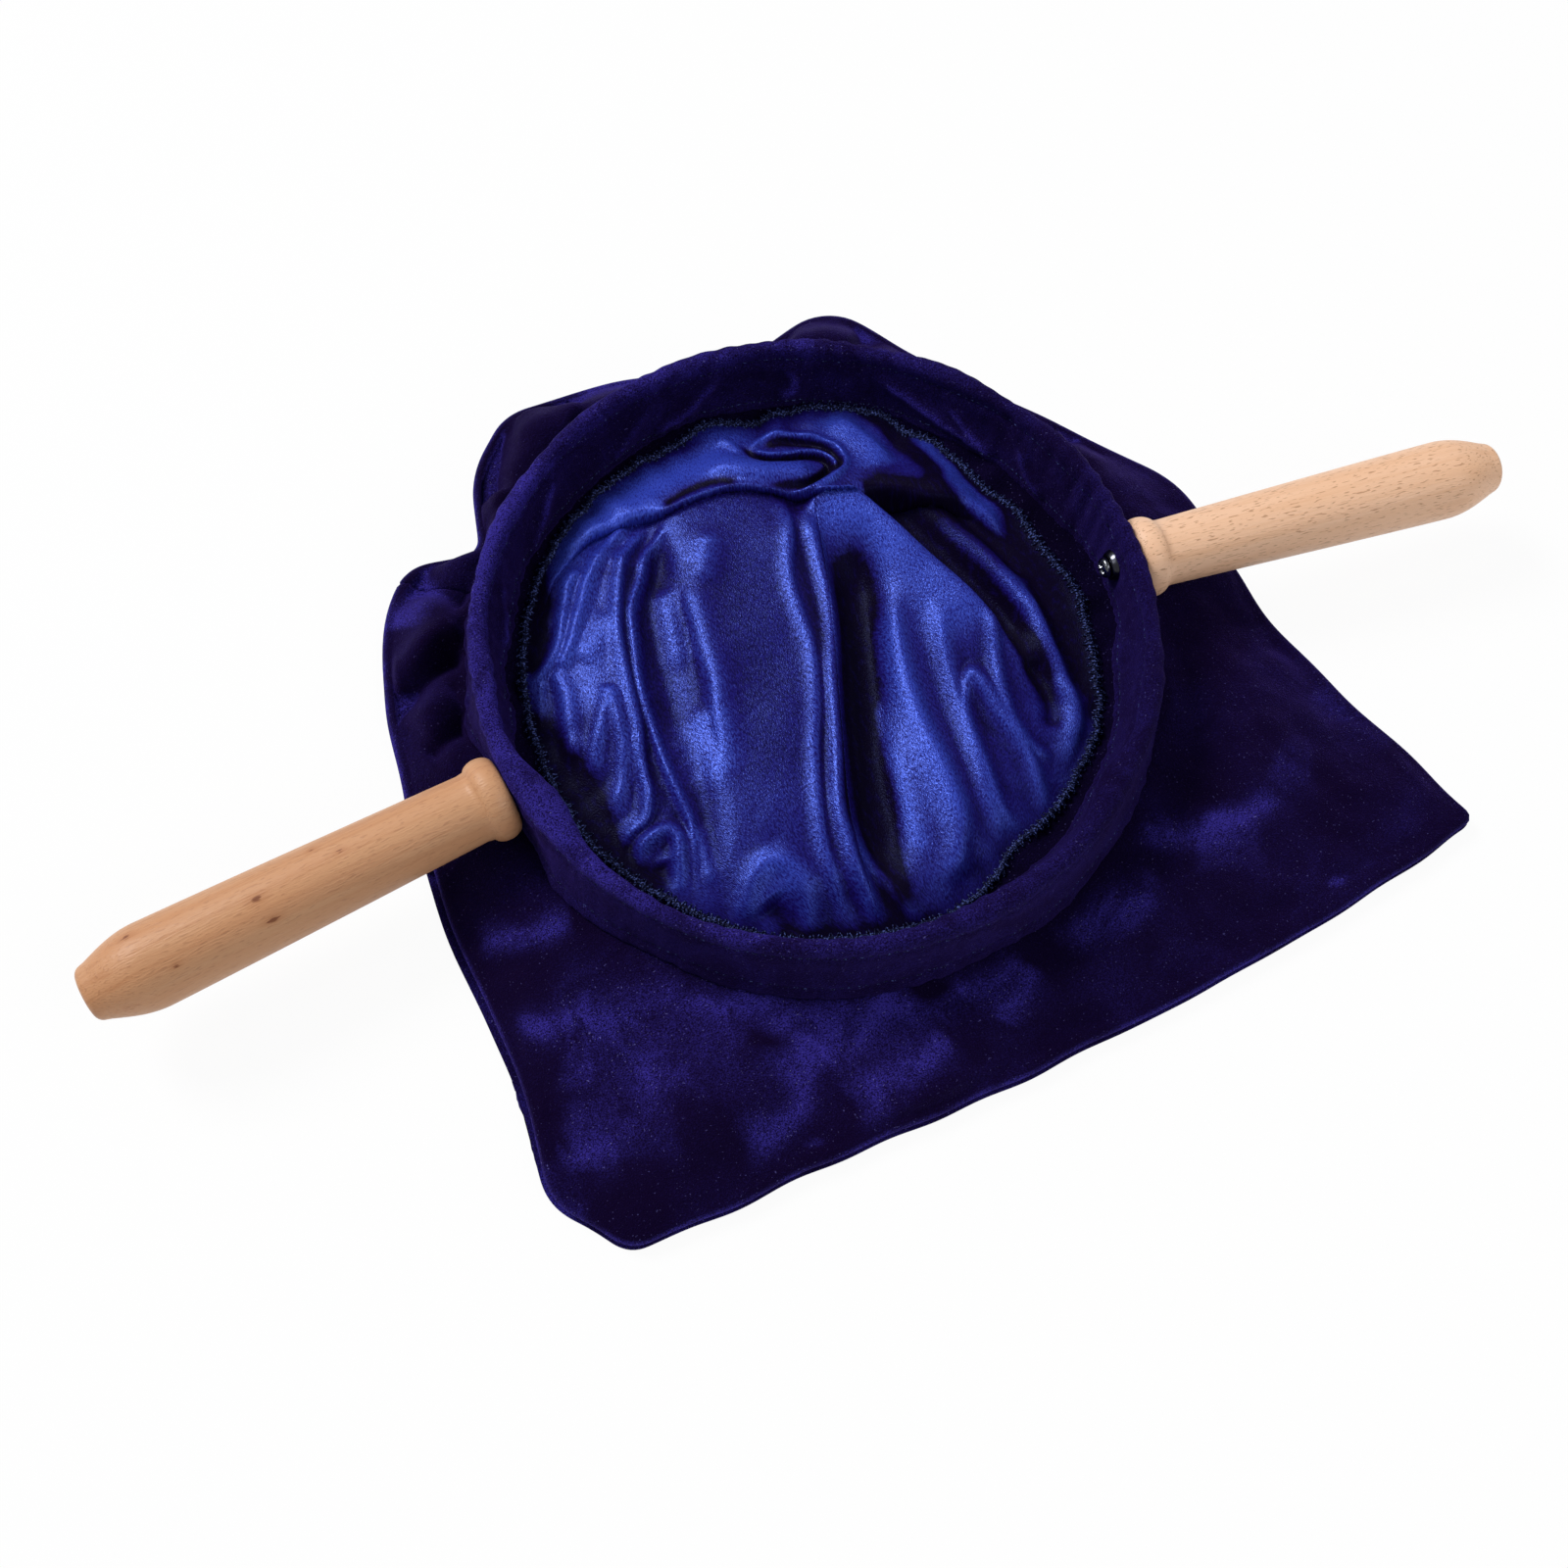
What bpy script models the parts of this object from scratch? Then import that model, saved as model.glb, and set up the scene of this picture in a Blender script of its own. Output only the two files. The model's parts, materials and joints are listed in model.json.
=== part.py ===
"""Offertory bag: a velvet bag with a satin lining, on a round hoop with two turned wooden handles.

The bag lies on a table with its mouth up. The hoop is a flat steel strip inside a velvet casing,
which lies level on top of the flattened bag. Each handle is held to the hoop by one wood screw,
put in from inside the mouth over a cup washer. Metres, +Z up; the origin is on the table, under
the middle of the whole object, and +X runs along the handles.
"""

import math

import bmesh
import bpy
from mathutils import Vector

# The mouth. Heights in the mouth are drops below the rim, the top fold of the casing.
RIM_HEIGHT = 0.047
RIM_RADIUS = 0.120
HOOP_CENTRE_Y = 0.00887
COLUMNS = 64

# Cloth
VELVET = 0.0016
SATIN = 0.0012
SEAM_GAP = 0.0004

# The hoop strip, and the pocket that the casing leaves for it
STRIP_THICKNESS = 0.0024
STRIP_HEIGHT = 0.015
STRIP_TOP_DROP = 0.0088
STRIP_CLEARANCE = 0.0003
POCKET = STRIP_THICKNESS + 2 * STRIP_CLEARANCE

# The casing's two legs, measured on the middle of the cloth
OUTER_LEG_RADIUS = RIM_RADIUS - VELVET / 2
INNER_LEG_RADIUS = OUTER_LEG_RADIUS - POCKET - VELVET
OUTER_LEG_DROP = 0.031
INNER_LEG_DROP = 0.028
OUTER_FLARE = 0.0065
INNER_LEAN = 0.0050
LEGS_PART_DROP = 0.006

# The handles
HANDLE_SWEEP = math.radians(6.0)
HANDLE_DROP = 0.016
HANDLE_LENGTH = 0.147
HANDLE_END_GAP = 0.0003
BEAD_RADIUS = 0.0148
BEAD_LENGTH = 0.0105
NECK_RADIUS = 0.0121
BELLY_RADIUS = 0.0146
BELLY_PLACE = 0.125
TIP_RADIUS = 0.0096
TURNED_STEPS = 28
PRESS_NEAR = math.radians(7.5)
PRESS_FAR = math.radians(17.0)
HANDLES = {"left": math.pi + HANDLE_SWEEP, "right": -HANDLE_SWEEP}

# The wood screws and cup washers
SHANK_RADIUS = 0.0021
SHANK_CLEARANCE = 0.0004
SCREW_POINT = 0.005
SCREW_LENGTH = 0.032
HEAD_RADIUS = 0.0041
HEAD_HEIGHT = 0.0026
WASHER_RADIUS = 0.0064
WASHER_HOLE = 0.0026
WASHER_HEIGHT = 0.0020
WASHER_SHEET = 0.0008
WASHER_SEAT_RADIUS = INNER_LEG_RADIUS - VELVET / 2 - 0.0006
PILOT_RADIUS = SHANK_RADIUS + 0.0003
PILOT_DEPTH = 0.0245
FASTENER_STEPS = 20

# The overlock seam between facing and lining: (azimuth in degrees, radius)
OVERLOCK_ROUTE = (
    (108, 0.1020), (95, 0.0995), (75, 0.1025), (58, 0.1050), (40, 0.1045), (20, 0.0960),
    (0, 0.0955), (-20, 0.0990), (-42, 0.1020), (-66, 0.0990), (-90, 0.1045), (-118, 0.1050),
    (-150, 0.1045), (-178, 0.1030), (-206, 0.1030), (-232, 0.1035),
)
OVERLOCK_DROP = 0.0290
OVERLOCK_RADIUS = 0.0015

# The bag's outline on the table: corners (x, y, how far before and after the corner it is rounded)
OUTLINE = (
    (0.199, -0.144, 0.010), (0.103, -0.160, 0.030), (0.012, -0.165, 0.030), (-0.138, -0.166, 0.007),
    (-0.156, -0.142, 0.010), (-0.152, -0.104, 0.016), (-0.157, -0.040, 0.030),
    (-0.151, 0.020, 0.026), (-0.139, 0.078, 0.020), (-0.120, 0.097, 0.008), (-0.094, 0.094, 0.008),
    (-0.084, 0.128, 0.012), (-0.064, 0.148, 0.009), (-0.022, 0.148, 0.018), (0.028, 0.135, 0.022),
    (0.073, 0.151, 0.016), (0.104, 0.104, 0.030), (0.142, 0.054, 0.014), (0.167, 0.022, 0.016),
    (0.170, -0.050, 0.026), (0.186, -0.104, 0.022),
)
OUTLINE_POINTS = 80
SIDE_SEAM_AZIMUTHS = (math.radians(-4.0), math.radians(186.0))
BAG_EDGE_HEIGHT = 0.0068
BAG_HEM_HEIGHT = 0.0030
UNDERSIDE_INSET = 0.0022
FAR_BULGE = 0.0065
NEAR_BULGE = 0.0020

# The lining: its middle, the line of its seam, and its main folds as
# (start, end, half width, height): each runs from the far side to the near side of the mouth
LINING_MIDDLE = Vector((0.0056, 0.0))
LINING_SEAM_AZIMUTH = math.radians(70.5)
LINING_EDGE_INSET = 0.0022
LINING_RISE = 0.0085
LINING_FOLDS = (
    (Vector((-0.070, 0.060)), Vector((0.050, 0.072)), 0.013, 0.0055),
    (Vector((-0.060, 0.040)), Vector((-0.075, -0.040)), 0.010, 0.0040),
    (Vector((-0.030, 0.045)), Vector((-0.052, -0.070)), 0.009, 0.0035),
    (Vector((0.016, 0.048)), Vector((-0.016, -0.080)), 0.009, 0.0045),
    (Vector((0.045, 0.040)), Vector((0.030, -0.085)), 0.011, 0.0035),
    (Vector((0.070, 0.025)), Vector((0.074, -0.060)), 0.010, 0.0030),
)
LINING_RINGS = (0.12, 0.28, 0.44, 0.58, 0.71, 0.83, 0.93, 1.0)
LINING_COLUMNS = 30

VELVET_COLOUR = (0.020, 0.006, 0.125)
SATIN_COLOUR = (0.030, 0.052, 0.420)
THREAD_COLOUR = (0.012, 0.016, 0.075)
BEECH_COLOUR = (0.640, 0.400, 0.220)
STRIP_COLOUR = (0.430, 0.440, 0.460)
BRIGHT_COLOUR = (0.760, 0.770, 0.790)


def smoothstep(low, high, value):
    """0 below low, 1 above high, and a smooth rise between."""
    share = min(max((value - low) / (high - low), 0.0), 1.0)
    return share * share * (3.0 - 2.0 * share)


def turn_between(first, second):
    """The smallest angle between two azimuths."""
    return abs((first - second + math.pi) % (2 * math.pi) - math.pi)


def freedom(azimuth):
    """0 where a handle presses the casing flat against the hoop, 1 well away from both."""
    nearest = min(turn_between(azimuth, handle) for handle in HANDLES.values())
    return smoothstep(PRESS_NEAR, PRESS_FAR, nearest)


def at(azimuth, radius, drop):
    """A point about the hoop's middle, in the rim's own frame."""
    return Vector((radius * math.cos(azimuth), radius * math.sin(azimuth), -drop))


def on_route(route, azimuth):
    """The radius of a closed route of (degrees, radius) points, as a smooth curve through them."""
    points = sorted((math.radians(degrees) % (2 * math.pi), radius) for degrees, radius in route)
    angle = azimuth % (2 * math.pi)
    count = len(points)
    after = next((i for i, (a, _) in enumerate(points) if a > angle), count)
    spots = []
    for step in (-2, -1, 0, 1):
        lap, index = divmod(after + step, count)
        spots.append((points[index][0] + lap * 2 * math.pi, points[index][1]))
    (a0, r0), (a1, r1), (a2, r2), (a3, r3) = spots
    share = (angle - a1) / (a2 - a1)
    slope1 = (r2 - r0) / (a2 - a0) * (a2 - a1)
    slope2 = (r3 - r1) / (a3 - a1) * (a2 - a1)
    return (
        (2 * share**3 - 3 * share**2 + 1) * r1
        + (share**3 - 2 * share**2 + share) * slope1
        + (3 * share**2 - 2 * share**3) * r2
        + (share**3 - share**2) * slope2
    )


def finish(name, colour, roughness, metallic=0.0, sheen=0.0):
    """A plain Principled material."""
    material = bpy.data.materials.new(name)
    material.use_nodes = True
    shader = material.node_tree.nodes["Principled BSDF"]
    shader.inputs["Base Color"].default_value = (*colour, 1.0)
    shader.inputs["Roughness"].default_value = roughness
    shader.inputs["Metallic"].default_value = metallic
    shader.inputs["Sheen Weight"].default_value = sheen
    material.diffuse_color = (*colour, 1.0)
    return material


def velvet(name):
    return finish(f"{name}_velvet", VELVET_COLOUR, 0.85, sheen=0.8)


def satin(name):
    return finish(f"{name}_satin", SATIN_COLOUR, 0.32)


def collection(name):
    group = bpy.data.collections.new(name)
    bpy.context.scene.collection.children.link(group)
    return group


def place(mesh, name, group, material, parent, smooth_angle=35.0):
    """A named object of this mesh under its parent, shaded smooth with sharp edges kept."""
    mesh.materials.append(material)
    mesh.shade_smooth()
    mesh.set_sharp_from_angle(angle=math.radians(smooth_angle))
    made = bpy.data.objects.new(name, mesh)
    made.parent = parent
    group.objects.link(made)
    return made


def lofted(name, columns, closed):
    """A sheet through columns of points, each column the same length."""
    form = bmesh.new()
    rows = [[form.verts.new(point) for point in column] for column in columns]
    pairs = list(zip(rows, rows[1:] + rows[:1])) if closed else list(zip(rows, rows[1:]))
    for here, there in pairs:
        for low in range(len(here) - 1):
            form.faces.new((here[low], there[low], there[low + 1], here[low + 1]))
    mesh = bpy.data.meshes.new(name)
    form.to_mesh(mesh)
    form.free()
    return mesh


def thicken(made, thickness, offset=0.0):
    """Cloth or sheet thickness; offset 0 keeps the modelled sheet in the middle of it."""
    solidify = made.modifiers.new("thickness", "SOLIDIFY")
    solidify.thickness = thickness
    solidify.offset = offset
    solidify.use_even_offset = False


def turned(name, profile, group, material, parent, closed=False, steps=TURNED_STEPS):
    """A profile of (radius, height) turned about Z. It runs down its outer side, top to bottom."""
    mesh = bpy.data.meshes.new(name)
    points = [(radius, 0.0, height) for radius, height in profile]
    edges = [(i, i + 1) for i in range(len(points) - 1)]
    if closed:
        edges.append((len(points) - 1, 0))
    mesh.from_pydata(points, edges, [])
    made = place(mesh, name, group, material, parent)
    screw = made.modifiers.new("turning", "SCREW")
    screw.steps = steps
    screw.render_steps = steps
    screw.use_merge_vertices = True
    screw.merge_threshold = 0.00001
    screw.use_smooth_shade = True
    return made


def cutter(name, radius, near, far, azimuth, group, parent):
    """A rod along a handle's axis, for the hole that its screw passes through."""
    form = bmesh.new()
    bmesh.ops.create_cone(
        form, cap_ends=True, segments=16, radius1=radius, radius2=radius, depth=far - near
    )
    mesh = bpy.data.meshes.new(name)
    form.to_mesh(mesh)
    form.free()
    made = bpy.data.objects.new(name, mesh)
    made.parent = parent
    made.location = at(azimuth, (near + far) / 2, HANDLE_DROP)
    made.rotation_euler = (0.0, math.pi / 2, azimuth)
    made.hide_render = True
    made.display_type = "WIRE"
    group.objects.link(made)
    return made


def cut(made, tool):
    boolean = made.modifiers.new(f"hole for {tool.name}", "BOOLEAN")
    boolean.operation = "DIFFERENCE"
    boolean.solver = "EXACT"
    boolean.object = tool


def casing_section(azimuth):
    """The casing's cloth from its inner lower edge, over the top fold, to its outer lower edge."""
    free = freedom(azimuth)
    middle = (OUTER_LEG_RADIUS + INNER_LEG_RADIUS) / 2
    half = (OUTER_LEG_RADIUS - INNER_LEG_RADIUS) / 2
    section = []
    for share in (1.0, 0.55, 0.2):
        drop = LEGS_PART_DROP + (INNER_LEG_DROP - LEGS_PART_DROP) * share
        section.append((INNER_LEG_RADIUS - INNER_LEAN * free * share**1.3, drop))
    for degrees in (180, 135, 90, 45, 0):
        angle = math.radians(degrees)
        drop = VELVET / 2 + half * (1.0 - math.sin(angle))
        section.append((middle + half * math.cos(angle), drop))
    for share in (0.2, 0.6, 1.0):
        drop = LEGS_PART_DROP + (OUTER_LEG_DROP - LEGS_PART_DROP) * share
        section.append((OUTER_LEG_RADIUS + OUTER_FLARE * free * share**1.4, drop))
    return section


def azimuths():
    return [2 * math.pi * index / COLUMNS for index in range(COLUMNS)]


def build_hoop(group, cutters, parent):
    outer = OUTER_LEG_RADIUS - VELVET / 2 - STRIP_CLEARANCE
    inner = outer - STRIP_THICKNESS
    top, bottom = -STRIP_TOP_DROP, -STRIP_TOP_DROP - STRIP_HEIGHT
    profile = ((outer, top), (outer, bottom), (inner, bottom), (inner, top))
    steel = finish("hoop_steel", STRIP_COLOUR, 0.4, metallic=1.0)
    hoop = turned("hoop", profile, group, steel, parent, closed=True, steps=COLUMNS)
    for tool in cutters:
        cut(hoop, tool)


def build_casing(group, cutters, parent):
    columns = [[at(a, *point) for point in casing_section(a)] for a in azimuths()]
    mesh = lofted("hoop_casing", columns, closed=True)
    casing = place(mesh, "hoop_casing", group, velvet("casing"), parent, 50.0)
    thicken(casing, VELVET)
    for tool in cutters:
        cut(casing, tool)


def build_facing(group, parent):
    """The velvet strip from the casing's inner edge to the overlock seam."""
    columns = []
    for azimuth in azimuths():
        edge_radius, edge_drop = casing_section(azimuth)[0]
        seam = on_route(OVERLOCK_ROUTE, azimuth) + OVERLOCK_RADIUS + SEAM_GAP
        top = at(azimuth, edge_radius - 0.0002, edge_drop + SEAM_GAP + 0.0003)
        bend = at(azimuth, edge_radius * 0.4 + seam * 0.6, OVERLOCK_DROP + 0.0016)
        end = at(azimuth, seam, OVERLOCK_DROP)
        columns.append([end, bend, top])
    mesh = lofted("velvet_facing", columns, closed=True)
    facing = place(mesh, "velvet_facing", group, velvet("facing"), parent)
    thicken(facing, VELVET * 0.6)


def build_overlock(group, parent):
    curve = bpy.data.curves.new("overlock_seam", "CURVE")
    curve.dimensions = "3D"
    curve.bevel_depth = OVERLOCK_RADIUS
    curve.bevel_resolution = 1
    curve.use_fill_caps = True
    line = curve.splines.new("POLY")
    line.points.add(COLUMNS - 1)
    line.use_cyclic_u = True
    for point, azimuth in zip(line.points, azimuths()):
        point.co = (*at(azimuth, on_route(OVERLOCK_ROUTE, azimuth), OVERLOCK_DROP), 1.0)
    curve.materials.append(finish("overlock_thread", THREAD_COLOUR, 0.7))
    made = bpy.data.objects.new("overlock_seam", curve)
    made.parent = parent
    group.objects.link(made)


def rounded_outline():
    """The bag's outline, with each corner rounded, as evenly spaced points."""
    corners = [Vector((x, y)) for x, y, _ in OUTLINE]
    dense = []
    for index, (_, _, rounding) in enumerate(OUTLINE):
        corner = corners[index]
        before = (corners[index - 1] - corner).normalized()
        after = (corners[(index + 1) % len(corners)] - corner).normalized()
        start, end = corner + before * rounding, corner + after * rounding
        for step in range(9):
            share = step / 8
            dense.append(
                start * (1 - share) ** 2 + corner * 2 * share * (1 - share) + end * share**2
            )
    lengths = [0.0]
    for here, there in zip(dense, dense[1:] + dense[:1]):
        lengths.append(lengths[-1] + (there - here).length)
    dense.append(dense[0])
    even = []
    leg = 0
    for index in range(OUTLINE_POINTS):
        wanted = lengths[-1] * index / OUTLINE_POINTS
        while lengths[leg + 1] < wanted:
            leg += 1
        share = (wanted - lengths[leg]) / max(lengths[leg + 1] - lengths[leg], 1e-9)
        even.append(dense[leg].lerp(dense[leg + 1], share))
    return even


def bulge(azimuth):
    """How far the crumpled velvet stands up between the casing and the outline."""
    return NEAR_BULGE + (FAR_BULGE - NEAR_BULGE) * smoothstep(-0.2, 0.5, math.sin(azimuth))


def skin_column(edge):
    """The top velvet from under the casing out to the bag's edge, towards one outline point."""
    azimuth = math.atan2(edge.y, edge.x)
    casing_radius, casing_drop = casing_section(azimuth)[-1]
    start = at(azimuth, casing_radius - 0.0006, casing_drop + SEAM_GAP + VELVET * 0.75)
    table = -RIM_HEIGHT
    column = [start]
    for share in (0.14, 0.34, 0.60, 0.84):
        flat = start.xy.lerp(edge, share)
        height = (1 - share) * (start.z - table) + share * BAG_EDGE_HEIGHT
        height += bulge(azimuth) * math.sin(math.pi * share) ** 2
        column.append(Vector((flat.x, flat.y, table + height)))
    column.append(Vector((*start.xy.lerp(edge, 0.965), table + BAG_EDGE_HEIGHT - 0.0008)))
    return column


def outline_between(outline, first, last, clearance):
    """Outline points whose azimuth lies from first to last, ends set on those two azimuths."""
    span = (last - first) % (2 * math.pi)
    angles = [(math.atan2(p.y, p.x) - first) % (2 * math.pi) for p in outline]
    inside = sorted((angle, p) for angle, p in zip(angles, outline) if 0.02 < angle < span - 0.02)
    ends = []
    for azimuth, side in ((first, 1), (last, -1)):
        ray = Vector((math.cos(azimuth), math.sin(azimuth)))
        across = Vector((-ray.y, ray.x)) * side * clearance
        near = min(outline, key=lambda p: turn_between(math.atan2(p.y, p.x), azimuth))
        ends.append(ray * near.length + across)
    return [ends[0]] + [p for _, p in inside] + [ends[1]]


def build_front_panel(group, parent, outline):
    """The near half of the top velvet, hemmed down at the outline."""
    right, left = SIDE_SEAM_AZIMUTHS
    columns = []
    for edge in outline_between(outline, left, right, SEAM_GAP + 0.0004):
        hem = Vector((edge.x, edge.y, BAG_HEM_HEIGHT - RIM_HEIGHT))
        columns.append([hem] + skin_column(edge)[::-1])
    mesh = lofted("front_velvet_panel", columns, closed=False)
    thicken(place(mesh, "front_velvet_panel", group, velvet("front"), parent, 60.0), VELVET)


def build_back_panel(group, parent, outline):
    """The whole underside, folded up round the far edge and back in to the casing."""
    right, left = SIDE_SEAM_AZIMUTHS
    table = -RIM_HEIGHT
    far_side = outline_between(outline, right, left, SEAM_GAP + 0.0004)
    near_side = outline_between(outline, left, right, 0.0)[1:-1]
    form = bmesh.new()

    def underside_point(edge):
        inset = edge - edge.normalized() * UNDERSIDE_INSET
        return form.verts.new((inset.x, inset.y, table + VELVET / 2))

    far_row = [underside_point(edge) for edge in far_side]
    near_row = [underside_point(edge) for edge in near_side]
    form.faces.new((far_row + near_row)[::-1])
    rows = []
    for foot, edge in zip(far_row, far_side):
        fold = form.verts.new((edge.x, edge.y, table + BAG_EDGE_HEIGHT * 0.45))
        top = [form.verts.new(point) for point in reversed(skin_column(edge))]
        rows.append([foot, fold] + top)
    for here, there in zip(rows, rows[1:]):
        for low in range(len(here) - 1):
            form.faces.new((here[low], there[low], there[low + 1], here[low + 1]))
    mesh = bpy.data.meshes.new("back_velvet_panel")
    form.to_mesh(mesh)
    form.free()
    back = place(mesh, "back_velvet_panel", group, velvet("back"), parent, 60.0)
    thicken(back, VELVET)


def fold_height(point):
    """How far the lining's main folds stand up at this point of the mouth."""
    total = 0.0
    for start, end, half_width, height in LINING_FOLDS:
        run = end - start
        share = min(max((point - start).dot(run) / run.length_squared, 0.0), 1.0)
        away = (point - start - run * share).length / half_width
        total += height * math.exp(-away * away)
    return total


def lining_point(flat, reach):
    """A point of the lining; reach runs from 0 at its middle to 1 at the overlock seam."""
    dome = 1.0 - reach**3
    lift = LINING_RISE * dome + fold_height(flat) * (1.0 - reach**6)
    return Vector((flat.x, flat.y, -OVERLOCK_DROP + lift))


def seam_reach(direction):
    """The distance from the lining's middle to its edge along a direction."""
    distance = 0.100
    for _ in range(6):
        spot = LINING_MIDDLE + direction * distance
        wanted = on_route(OVERLOCK_ROUTE, math.atan2(spot.y, spot.x))
        distance += wanted - OVERLOCK_RADIUS - LINING_EDGE_INSET / 2 - spot.length
    return distance


def build_lining(name, first_azimuth, group, parent):
    """One half of the lining: a half disc pushed up into folds, straight along the seam."""
    columns = []
    across = Vector((-math.sin(first_azimuth), math.cos(first_azimuth)))
    shift = across * SEAM_GAP / 2
    middle = lining_point(LINING_MIDDLE + shift, 0.0)
    for index in range(LINING_COLUMNS + 1):
        azimuth = first_azimuth + math.pi * index / LINING_COLUMNS
        direction = Vector((math.cos(azimuth), math.sin(azimuth)))
        length = seam_reach(direction) - LINING_EDGE_INSET / 2
        column = [lining_point(LINING_MIDDLE + shift + direction * length * r, r) for r in LINING_RINGS]
        columns.append(column)
    mesh = lofted(name, columns, closed=False)
    form = bmesh.new()
    form.from_mesh(mesh)
    innermost = [vert for vert in form.verts if vert.index % len(LINING_RINGS) == 0]
    hub = form.verts.new(middle)
    for here, there in zip(innermost, innermost[1:]):
        form.faces.new((here, hub, there))
    bmesh.ops.recalc_face_normals(form, faces=form.faces)
    form.to_mesh(mesh)
    form.free()
    thicken(place(mesh, name, group, satin(name), parent), SATIN)


def handle_profile():
    """The turned outline from the tip on the axis down to the bead's flat end, then the bore."""
    profile = [(0.0, HANDLE_LENGTH)]
    for degrees in (20, 45, 70):
        angle = math.radians(degrees)
        rounding = 0.0030
        radius = TIP_RADIUS - rounding + rounding * math.sin(angle)
        profile.append((radius, HANDLE_LENGTH - rounding * (1 - math.cos(angle))))
    shoulder = HANDLE_LENGTH - 0.0030
    for share in (0.12, 0.35, 0.65):
        swell = TIP_RADIUS + (BELLY_RADIUS - TIP_RADIUS) * math.sin(math.pi / 2 * share)
        profile.append((swell, shoulder - (shoulder - BELLY_PLACE) * share))
    profile.append((BELLY_RADIUS, BELLY_PLACE))
    neck = BEAD_LENGTH + 0.0022
    for share in (0.12, 0.55):
        place_along = BELLY_PLACE + (neck - BELLY_PLACE) * share
        profile.append((BELLY_RADIUS + (NECK_RADIUS - BELLY_RADIUS) * share**1.15, place_along))
    profile.append((NECK_RADIUS, neck))
    for degrees in (-62, -30, 0, 35, 68):
        angle = math.radians(degrees)
        bead = BEAD_LENGTH / 2
        radius = BEAD_RADIUS - 0.0034 * (1 - math.cos(angle))
        profile.append((radius, bead - bead * math.sin(angle)))
    profile.append((BEAD_RADIUS - 0.0030, 0.0))
    profile += [(PILOT_RADIUS, 0.0), (PILOT_RADIUS, PILOT_DEPTH), (0.0, PILOT_DEPTH + 0.0015)]
    return profile


def screw_profile():
    """The shank's point on the axis, down to the pan head's flat underside and round its dome."""
    profile = [(0.0, SCREW_LENGTH), (SHANK_RADIUS, SCREW_LENGTH - SCREW_POINT), (SHANK_RADIUS, 0.0)]
    profile += [(HEAD_RADIUS, 0.0), (HEAD_RADIUS, -HEAD_HEIGHT * 0.35)]
    for degrees in (35, 62):
        angle = math.radians(degrees)
        drop = HEAD_HEIGHT * (0.35 + 0.65 * math.sin(angle))
        profile.append((HEAD_RADIUS * math.cos(angle), -drop))
    profile.append((0.0, -HEAD_HEIGHT))
    return profile


def washer_profile():
    """A cup washer: pressed sheet whose outer rim lies on the velvet and whose top seats the head."""
    low, high = WASHER_HEIGHT - WASHER_SHEET, WASHER_HEIGHT
    shoulder = WASHER_RADIUS * 0.72
    return [
        (WASHER_RADIUS, 0.0),
        (WASHER_RADIUS - 0.0004, -WASHER_SHEET),
        (shoulder + 0.0005, -high * 0.9),
        (shoulder - 0.0003, -high),
        (WASHER_HOLE, -high),
        (WASHER_HOLE, -low),
        (shoulder - 0.0006, -low),
        (WASHER_RADIUS - 0.0009, 0.0),
    ]


def along_handle(made, azimuth, distance):
    """Stands a turned piece on a handle's axis, its own +Z pointing out along the handle."""
    made.location = at(azimuth, distance, HANDLE_DROP)
    made.rotation_euler = (0.0, math.pi / 2, azimuth)


def build_handle(side, azimuth, group, parent):
    wood = finish(f"{side}_beech", BEECH_COLOUR, 0.45)
    handle = turned(f"{side}_handle", handle_profile(), group, wood, parent)
    along_handle(handle, azimuth, RIM_RADIUS + HANDLE_END_GAP)
    bright = finish(f"{side}_screw_steel", BRIGHT_COLOUR, 0.2, metallic=1.0)
    steps = FASTENER_STEPS
    screw = turned(f"{side}_screw", screw_profile(), group, bright, parent, steps=steps)
    head_seat = WASHER_SEAT_RADIUS - WASHER_HEIGHT - 0.0003
    along_handle(screw, azimuth, head_seat)
    pressed = finish(f"{side}_washer_steel", BRIGHT_COLOUR, 0.25, metallic=1.0)
    name = f"{side}_cup_washer"
    washer = turned(name, washer_profile(), group, pressed, parent, closed=True, steps=steps)
    along_handle(washer, azimuth, WASHER_SEAT_RADIUS)


def build_bag():
    for old in list(bpy.data.objects):
        bpy.data.objects.remove(old, do_unlink=True)
    bag = collection("offertory_bag")
    tools = collection("cutters")
    centre = bpy.data.objects.new("hoop_centre", None)
    centre.location = (0.0, HOOP_CENTRE_Y, RIM_HEIGHT)
    bag.objects.link(centre)

    hole = SHANK_RADIUS + SHANK_CLEARANCE
    holes = []
    for side, azimuth in HANDLES.items():
        name = f"{side}_screw_hole"
        holes.append(cutter(name, hole, RIM_RADIUS - 0.012, RIM_RADIUS + 0.006, azimuth, tools, centre))
        build_handle(side, azimuth, bag, centre)

    build_hoop(bag, holes, centre)
    build_casing(bag, holes, centre)
    build_facing(bag, centre)
    build_overlock(bag, centre)
    outline = rounded_outline()
    build_front_panel(bag, centre, outline)
    build_back_panel(bag, centre, outline)
    build_lining("left_lining_panel", LINING_SEAM_AZIMUTH, bag, centre)
    build_lining("right_lining_panel", LINING_SEAM_AZIMUTH - math.pi, bag, centre)


build_bag()
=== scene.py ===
"""Looks of the offertory bag: velvet, satin, thread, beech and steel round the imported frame.

The bag lies on a white table with its mouth up, as it was photographed. Every mesh here is made
about the hoop's middle: azimuths turn from +X, a drop is a depth below the rim, and the pieces
are then set at the frame's own hoop.
"""

from __future__ import annotations

import json
import logging
import math
from dataclasses import dataclass, field
from enum import Enum
from typing import Callable, Iterable

import bmesh
import bpy
import numpy as np
from mathutils import Matrix, Vector

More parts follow.
